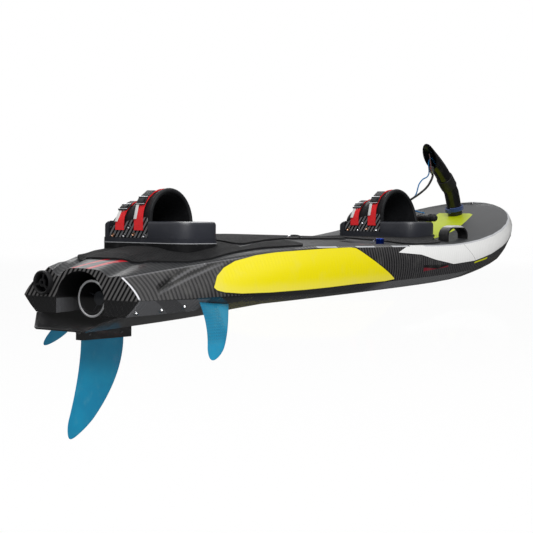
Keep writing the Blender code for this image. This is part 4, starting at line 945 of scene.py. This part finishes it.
def swept_tube(name, places, radius, finish, sides, stands_for=()):
    """A round bar along a line of places, with flat ends."""
    shape = bmesh.new()
    rings = []
    for index, place in enumerate(places):
        way = places[min(index + 1, len(places) - 1)] - places[max(index - 1, 0)]
        ring = bmesh.ops.create_circle(shape, segments=sides, radius=radius)["verts"]
        turn_and_move(shape, ring, place, way.to_track_quat("Z", "Y").to_matrix())
        rings.append(ring)
    for one, two in zip(rings, rings[1:]):
        edges = [edge for edge in shape.edges if all(vert in one for vert in edge.verts)
                 or all(vert in two for vert in edge.verts)]
        bmesh.ops.bridge_loops(shape, edges=edges)
    for ring in (rings[0], rings[-1]):
        bmesh.ops.contextual_create(shape, geom=ring)
    bmesh.ops.recalc_face_normals(shape, faces=shape.faces)
    crease_edges(shape, 50)
    return add_piece(name, shape, finish, stands_for=stands_for)


for end in ("rear", "front"):
    shape = bmesh.new()
    bmesh.ops.create_grid(shape, x_segments=ARCH_ACROSS, y_segments=ARCH_AROUND, size=0.5)
    for vert in shape.verts:
        vert.co = arch_spot(end, vert.co.x + 0.5, vert.co.y + 0.5)
    bmesh.ops.recalc_face_normals(shape, faces=shape.faces)
    centre = Vector((BINDING_X[end], 0.03, SOLE_HEIGHT[end]))
    if shape.faces[0].normal.dot(shape.faces[0].calc_center_median() - centre) < 0:
        bmesh.ops.reverse_faces(shape, faces=shape.faces)
    bmesh.ops.solidify(shape, geom=shape.faces[:], thickness=ARCH_THICKNESS)
    bmesh.ops.recalc_face_normals(shape, faces=shape.faces)
    arch = add_piece(f"{end}_foot_arch", shape, neoprene, stands_for=(f"{end}_binding_arch",))
    rounding = arch.modifiers.new("soft_foam", "SUBSURF")
    rounding.levels = rounding.render_levels = 1
    low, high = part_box(f"{end}_binding_arch")
    print(end, "arch: the CAD box is", [round(value, 4) for value in (*low, *high)])
    edge_line = [roll_spot(end, step / ROLL_STEPS) for step in range(ROLL_STEPS + 1)]
    roll = swept_tube(f"{end}_arch_roll", edge_line, ROLL_RADIUS, neoprene, 14)

# %% [markdown]
# The straps are flat red webbing that runs over the arch and down outside the plates. On the side
# towards the stern a stretch of the webbing is black, a ladder buckle takes it up, and its loose end is
# a small white tag. The webbing's own weave is a fine cross ribbing.

# %% Lay the straps with their buckles
STRAP_REACH = {"heel": 0.24, "toe": 0.72}
BUCKLE_TURN = {"heel": 0.715, "toe": 0.690}
STRAP_FOOT = 0.018
STRAP_LIFT = BRACKET_THICKNESS + TOUCH * 2 + STRAP_THICKNESS


def webbing(name, color, roughness, weft, weft_relief, cross, sheen=0.0):
    """Woven tape: fine ribs across it, and finer ones along it."""
    made = Finish(name, color, roughness)
    made.put("Sheen Weight", sheen)
    ribs = made.wave(made.toward((1, 0, 1)), weft)
    made.emboss(ribs, weft_relief)
    made.emboss(made.wave(made.y, cross), 0.0003)
    return made, ribs


black_web, _ = webbing("black_webbing", (0.010, 0.010, 0.011), 0.7, 0.0016, 0.0003, 0.0021, sheen=0.3)
red_web, red_ribs = webbing("red_webbing", (1.0, 0.028, 0.035), 0.6, 0.0018, 0.00035, 0.0024)
red_web.paint(red_ribs, (0.62, 0.006, 0.012), 0.25)
white_web = Finish("white_tag", (0.78, 0.78, 0.77), 0.6)
white_web.emboss(white_web.wave(white_web.y, 0.0015), 0.0002)
white_web.wear(grey(0.5), 0.3, 80.0)
BUCKLE_PARTS = (
    ("buckle_base", 0.0, 0.0, (0.024, 0.028, 0.003), 0.0004, moulded, 0.001, "black_plastic"),
    ("buckle_lever", 0.0, 0.004, (0.013, 0.020, 0.003), 0.0032, moulded, 0.001, "black_plastic"),
    ("buckle_bar", 0.0, -0.030, (0.0030, 0.029, 0.0030), 0.0030, chrome, 0.001, "steel"),
    ("buckle_pin", 0.0, 0.030, (0.0025, 0.029, 0.0025), 0.0026, chrome, 0.001, "steel"),
    ("black_stretch", 0.0, -0.085, (0.024, 0.0265, 0.0012), 0.0002, black_web, 0.0003, "red_webbing"),
    ("white_tag", 0.06, 0.085, (0.036, 0.0085, 0.0014), 0.0002, white_web, 0.0004, "red_webbing"))


def on_strap(end, reach, turn, lift):
    """A frame on a strap's outside: its place, the way round the arch, the way to the toe, and out."""
    place = arch_spot(end, reach, turn, STRAP_LIFT)
    around = (arch_spot(end, reach, turn + 0.01, STRAP_LIFT) - place).normalized()
    toe = Vector((0, 1, 0))
    outward = around.cross(toe).normalized()
    if outward.dot(place - Vector((BINDING_X[end], place.y, SOLE_HEIGHT[end] + 0.03))) < 0:
        outward = -outward
    return place + outward * lift, around, toe, outward


def plate_on_strap(name, end, reach, turn, size, lift, finish, round_by):
    """A flat part with rounded edges. Its size is along the strap, across it, and its thickness."""
    place, *ways = on_strap(end, reach, turn, lift + size[2] / 2)
    shape = bmesh.new()
    bmesh.ops.create_grid(shape, x_segments=1, y_segments=3, size=0.5)
    solid = bmesh.ops.extrude_face_region(shape, geom=shape.faces[:])
    moved = [item for item in solid["geom"] if isinstance(item, bmesh.types.BMVert)]
    bmesh.ops.translate(shape, verts=moved, vec=(0, 0, 1.0))
    bmesh.ops.translate(shape, verts=shape.verts, vec=(0, 0, -0.5))
    bmesh.ops.recalc_face_normals(shape, faces=shape.faces)
    bmesh.ops.scale(shape, verts=shape.verts, vec=size)
    corners = [edge for edge in shape.edges if edge.calc_face_angle(0.0) > 1.0]
    bmesh.ops.bevel(shape, geom=corners, offset=round_by, offset_type="OFFSET", segments=2, profile=0.5,
                    affect="EDGES", clamp_overlap=True, material=-1)
    crease_edges(shape, 40)
    turn_and_move(shape, shape.verts, place, Matrix(ways).transposed())
    add_piece(name, shape, finish)


for end in ("rear", "front"):
    for which, reach in STRAP_REACH.items():
        node = f"{end}_binding_{which}_strap"
        strap = merged_copy(node)
        cut_plane(strap, (0, 0, SOLE_HEIGHT[end] + STRAP_FOOT), (0, 0, 1), clear_inner=True)
        close_holes(strap)
        crease_edges(strap, 50)
        add_piece(f"{end}_{which}_webbing", strap, red_web, stands_for=(node,))
        for part, further, turned, size, lift, finish, round_by, slot in BUCKLE_PARTS:
            plate_on_strap(f"{end}_{which}_{part}", end, reach + further, BUCKLE_TURN[which] + turned, size,
                           lift, finish, round_by)
print("bindings dressed")

# %% [markdown]
# The fins are moulded teal plastic, built like wings: foil sections stand one over the other, grow
# shorter towards the tip and close in a round. The side fins have a field of small hexagonal dimples. A
# honeycomb is two grids of points shifted by half a cell: the nearer point gives the distance, and the
# distance gives the dimple.

# %% Mould the fins
CELL = 0.0075
FOIL_AROUND = 28
FOIL_LEVELS = 24
FOIL_FULLNESS = 1.3
FOIL_CROWDING = 1.6
FIN_BOX_SCREWS = {"rear": -0.880, "front": -0.775}
FIN_BOX_SCREW_Z = -0.084
SMALL_SCREW = 0.0032


def honeycomb(finish, across, along, cell):
    """1 at the middle of each hexagonal cell, and 0 at its walls."""
    distances = []
    for shift in (0.0, 0.5):
        squares = []
        for value, size in ((across, cell), (along, cell * math.sqrt(3))):
            moved = finish.math("ADD", value, shift * size)
            wrapped = finish.math("SUBTRACT", finish.math("FLOORED_MODULO", moved, size), size / 2)
            squares.append(finish.math("MULTIPLY", wrapped, wrapped))
        distances.append(finish.math("SQRT", finish.math("ADD", *squares)))
    return finish.rise(finish.math("MINIMUM", *distances), cell * 0.46, cell * 0.30)


teal = Finish("teal_fin", (0.001, 0.23, 0.42), 0.32, coat=0.08, shine=0.15)
teal.paint(teal.rise(teal.noise(14.0, 3.0), 0.35, 0.75), (0.004, 0.37, 0.60), 0.35)
field = teal.where((teal.math("ABSOLUTE", teal.y), 0.10, 0.11), (teal.z, -0.108, -0.085),
                   (teal.x, -0.752, -0.742), (teal.x, -0.662, -0.672))
cells = teal.both(honeycomb(teal, teal.x, teal.z, CELL), field)
# The dimples are painted darker, as painted shade, and pressed in.
teal.paint(cells, (0.002, 0.09, 0.17), 0.45)
teal.emboss(teal.math("SUBTRACT", 1.0, cells), 0.0008)
teal.wear((0.10, 0.38, 0.46), 0.25, 35.0)
hull_surface = BVHTree.FromPolygons([vert.co for vert in hull.data.vertices],
                                    [list(face.vertices) for face in hull.data.polygons])


def fin_edge(root_x, *bends):
    """A fin's edge seen from the side: x by depth, from the root and the bends with their powers."""
    return lambda depth: root_x + sum(reach * depth**power for reach, power in bends)


def foil_blade(name, node, leading, trailing, thickness, taper, tip_from):
    """A fin: foil sections from the root to a rounded tip, between the CAD fin's own root and depth."""
    low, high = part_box(node)
    side = 0 if abs(low[1] + high[1]) < 0.01 else math.copysign(1, low[1])
    root_y = side * (min(abs(low[1]), abs(high[1])) + thickness / 2)
    tip_y = side * (max(abs(low[1]), abs(high[1])) - thickness / 3)
    shape = bmesh.new()
    bmesh.ops.create_grid(shape, x_segments=FOIL_AROUND, y_segments=FOIL_LEVELS, size=0.5)
    for vert in shape.verts:
        angle = 2 * math.pi * (vert.co.x + 0.5)
        depth = 1.0 - (0.5 - vert.co.y)**FOIL_CROWDING
        rounding = math.sqrt(max(1.0 - (max(depth - tip_from, 0.0) / (1.0 - tip_from))**2, 0.0))
        share = (1.0 - math.cos(angle)) / 2
        front, rear = leading(depth), trailing(depth)
        chord = (front - rear) / 2 * rounding
        bulge = thickness * (1 - taper * depth) * FOIL_FULLNESS * (math.sqrt(share) - share) * rounding
        top = high[2]
        if side:
            root_x = leading(0) - (leading(0) - trailing(0)) * share
            top = hull_surface.ray_cast(Vector((root_x, root_y, low[2])), Vector((0, 0, 1)))[0].z - TOUCH
        vert.co = Vector(((front + rear) / 2 + chord * math.cos(angle),
                          root_y + (tip_y - root_y) * depth + math.copysign(bulge, math.sin(angle)),
                          top + (low[2] - top) * depth))
    bmesh.ops.remove_doubles(shape, verts=shape.verts, dist=0.00002)
    close_holes(shape)
    bmesh.ops.recalc_face_normals(shape, faces=shape.faces)
    crease_edges(shape, 60)
    add_piece(name, shape, teal, stands_for=(node,))


foil_blade("teal_rear_fin", "rear_fin", fin_edge(-0.755, (-0.145, 2)), fin_edge(-0.895, (-0.054, 1.7)),
           thickness=0.0072, taper=0.6, tip_from=0.80)
for node in ("port_fin", "starboard_fin"):
    foil_blade("teal_" + node, node, fin_edge(-0.622, (-0.073, 1), (-0.028, 3)),
               fin_edge(-0.728, (0.010, 1), (-0.055, 2.1)), thickness=0.0066, taper=0.5, tip_from=0.76)

box_black = grained("fin_box_black", (0.012, 0.012, 0.013), 0.34, (700.0, 3.0), 0.0002,
                    (grey(0.06), 0.4, 40.0))
finish_node("fin_box", "fin_mount", box_black, edge=0.0018)
low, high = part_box("fin_box")
bolt_head("fin_bolt", (low[0], 0.0, (low[2] + high[2]) / 2), (-1, 0, 0), 0.0065, chrome)
for side_name, side in (("starboard", -1), ("port", 1)):
    for end, x in FIN_BOX_SCREWS.items():
        bolt_head(f"fin_mount_screw_{side_name}_{end}", (x, side * high[1], FIN_BOX_SCREW_Z), (0, side, 0),
                  SMALL_SCREW, chrome)
print("fins moulded")

# %% [markdown]
# The water jet is the heart of the board. The pod under the stern is black moulding; the dark tube with
# its bright rim, the straightening vanes and the impeller show through the arch of the stern. The vanes
# and blades keep their CAD shapes, which are the real ones: the vanes are a blue-grey alloy, the blades
# are steel. The exhaust ring and the engine in its bay belong to the same drive.

# %% Dress the water jet
TURNED = (1.0, 2.0, (900.0, 6.0, 6.0))
TUBE_RIM = (0.0016, 0.0011)
FLANGE_BOLTS = 6
FLANGE_BOLT_CIRCLE = 0.050
JET_AXIS_Z = -0.004
POD_SCREWS = ((-0.882, 0.150, -0.025), (-0.817, 0.170, -0.025), (-0.760, 0.190, -0.022))

pod_black = grained("pod_black", (0.010, 0.010, 0.011), 0.30, (500.0, 3.0), 0.0002, (grey(0.05), 0.3, 30.0),
                    coat=0.3)
steel = Finish("turned_steel", (0.66, 0.67, 0.69), 0.34, metallic=1.0)
rings = steel.noise(*TURNED)
steel.dull(rings, 0.42)
steel.emboss(rings, 0.0001)
alloy = clouded("blue_grey_alloy", (0.10, 0.11, 0.125), 0.34, 160.0, 4.0, 0.5, metallic=0.85)
tube_finish = Finish("tube_steel", (0.030, 0.031, 0.034), 0.34, metallic=0.5)
tube_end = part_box("jet_tube")[0][0]
tube_rim = tube_finish.rise(tube_finish.x, tube_end + TUBE_RIM[0], tube_end + TUBE_RIM[1])
tube_finish.paint(tube_rim, (0.90, 0.91, 0.93))
tube_finish.dull(tube_finish.noise(*TURNED), 0.42)
exhaust_rubber = grained("exhaust_rubber", (0.012, 0.012, 0.013), 0.5, (600.0, 4.0), 0.0004,
                         ((0.05, 0.05, 0.055), 0.5, 60.0))
cast_engine = grained("cast_engine", (0.16, 0.165, 0.17), 0.5, (420.0, 5.0), 0.0006, (grey(0.28), 0.4, 30.0),
                      metallic=0.6)

for node, name, finish, crease, edge in (
        ("pump_pod", "pump_housing", pod_black, 32, 0.0012),
        ("pump_bulkhead", "pump_flange", pod_black, 32, 0.0008),
        ("intake_grate", "intake_bars", steel, 32, 0.0006),
        ("jet_tube", "jet_nozzle_tube", tube_finish, 35, 0.0006),
        ("stator", "jet_stator", alloy, 35, 0.0),
        ("impeller", "jet_impeller", steel, 35, 0.0),
        ("exhaust_outlet", "exhaust_ring", exhaust_rubber, 32, 0.0008),
        ("engine_block", "engine_casting", cast_engine, 32, 0.004)):
    finish_node(node, name, finish, crease=crease, edge=edge)

for index in range(FLANGE_BOLTS):
    angle = math.radians(360 / FLANGE_BOLTS * index + 12)
    place = Vector((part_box("pump_bulkhead")[0][0], FLANGE_BOLT_CIRCLE * math.cos(angle),
                    JET_AXIS_Z + FLANGE_BOLT_CIRCLE * math.sin(angle)))
    bolt_head(f"flange_bolt_{index + 1}", place, (-1, 0, 0), SMALL_SCREW, chrome)
for side_name, side in (("port", 1), ("starboard", -1)):
    for index, (x, y, z) in enumerate(POD_SCREWS):
        place, outward, _, _ = hull_surface.find_nearest(Vector((x, side * y, z)))
        bolt_head(f"{side_name}_plate_screw_{index + 1}", place, outward, 0.0060, chrome)
print("water jet dressed")

# %% [markdown]
# The pole at the bow is a bent black tube under clear lacquer, with a rubber sleeve over its knee, so
# that it can be folded. The blue rope that ties it to the board is wound by a spiral: one round bar
# along three turns, with the rope's own twist raised on its skin.

# %% Stand the pole
POLE_RADIUS = 0.023
ROPE_RADIUS = 0.003
ROPE_PLACE = Vector((0.7824, 0.0, 0.2199))
ROPE_WAY = Vector((-0.3182, 0.0, 0.948)).normalized()
ROPE_TURNS = 3
TURN_STEPS = 32

pole_black = grained("lacquered_pole", CARBON_BLACK, 0.24, (260.0, 2.0), 0.0001, (grey(0.05), 0.25, 50.0),
                     coat=0.3)
sleeve_rubber = grained("knee_rubber", (0.016, 0.016, 0.017), 0.5, (800.0, 3.0), 0.0003,
                        (grey(0.06), 0.4, 60.0))
rope_blue = Finish("blue_rope", (0.014, 0.060, 0.26), 0.72)
rope_blue.put("Sheen Weight", 0.3)
twist = rope_blue.wave(rope_blue.toward((1, 1, 1)), 0.0030, 0.1)
rope_blue.paint(twist, (0.004, 0.012, 0.07), 0.7)
rope_blue.emboss(twist, 0.0007)
grip_black = Finish("grip_rubber", (0.010, 0.010, 0.011), 0.5)
grip_cells = honeycomb(grip_black, grip_black.toward((1, 1, 0)), grip_black.z, 0.0032)
grip_black.emboss(grip_cells, 0.0004)
grip_black.wear(grey(0.05), 0.4, 70.0)

for node, name, finish, edge in (("pole_lower_tube", "pole_foot_tube", pole_black, 0.0),
                                 ("pole_sleeve", "pole_knee_sleeve", sleeve_rubber, 0.0008),
                                 ("pole_upper_tube", "pole_head_tube", pole_black, 0.0005),
                                 ("cable_collar", "cable_clamp", chrome, 0.0),
                                 ("throttle_grip", "throttle_handle", grip_black, 0.0008)):
    finish_node(node, name, finish, crease=35, edge=edge, flatten=0.0)

to_port = Vector((0, 1, 0))
to_bow = ROPE_WAY.cross(to_port).normalized()
rope_line = []
for step in range(ROPE_TURNS * TURN_STEPS + 1):
    angle = 2 * math.pi * step / TURN_STEPS
    rise = (step / (ROPE_TURNS * TURN_STEPS) - 0.5) * 4.2 * ROPE_RADIUS
    out = (to_bow * math.cos(angle) + to_port * math.sin(angle)) * (POLE_RADIUS + ROPE_RADIUS + TOUCH * 2)
    rope_line.append(ROPE_PLACE + ROPE_WAY * rise + out)
swept_tube("rope_turns", rope_line, ROPE_RADIUS, rope_blue, 10, stands_for=("rope_lashing",))
print("pole stands")

# %% [markdown]
# Two small fittings finish the deck: the rubber carry handle, with a painted highlight along its top, and
# the blue metal cap in its recess, with a fine turned grain.

# %% Add the handle and the cap
HANDLE_TOP_HIGHLIGHT = (0.1625, 0.1635)

handle_rubber = Finish("handle_rubber", (0.011, 0.011, 0.012), 0.4)
handle_rubber.emboss(handle_rubber.noise(900.0, 3.0), 0.0002)
# The handle's top edge is painted pale: a painted highlight.
handle_rubber.paint(handle_rubber.rise(handle_rubber.z, *HANDLE_TOP_HIGHLIGHT), grey(0.62))
handle_rubber.wear(grey(0.06), 0.3, 60.0)
finish_node("carry_handle", "deck_carry_handle", handle_rubber, crease=35, edge=0.0012)

blue_anodised = Finish("blue_anodised", (0.008, 0.045, 0.42), 0.22, metallic=1.0)
blue_anodised.dull(blue_anodised.wave(blue_anodised.z, 0.0012), 0.34)
cap = merged_copy("fuel_cap", 1.0)
crease_edges(cap, 30)
soften(add_piece("blue_deck_cap", cap, blue_anodised, stands_for=("fuel_cap",)), 0.0012)
bolt_head("recess_screw", (0.008, -0.196, 0.1245), (0, 0, 1), 0.0040, chrome)
print("handle and cap added")
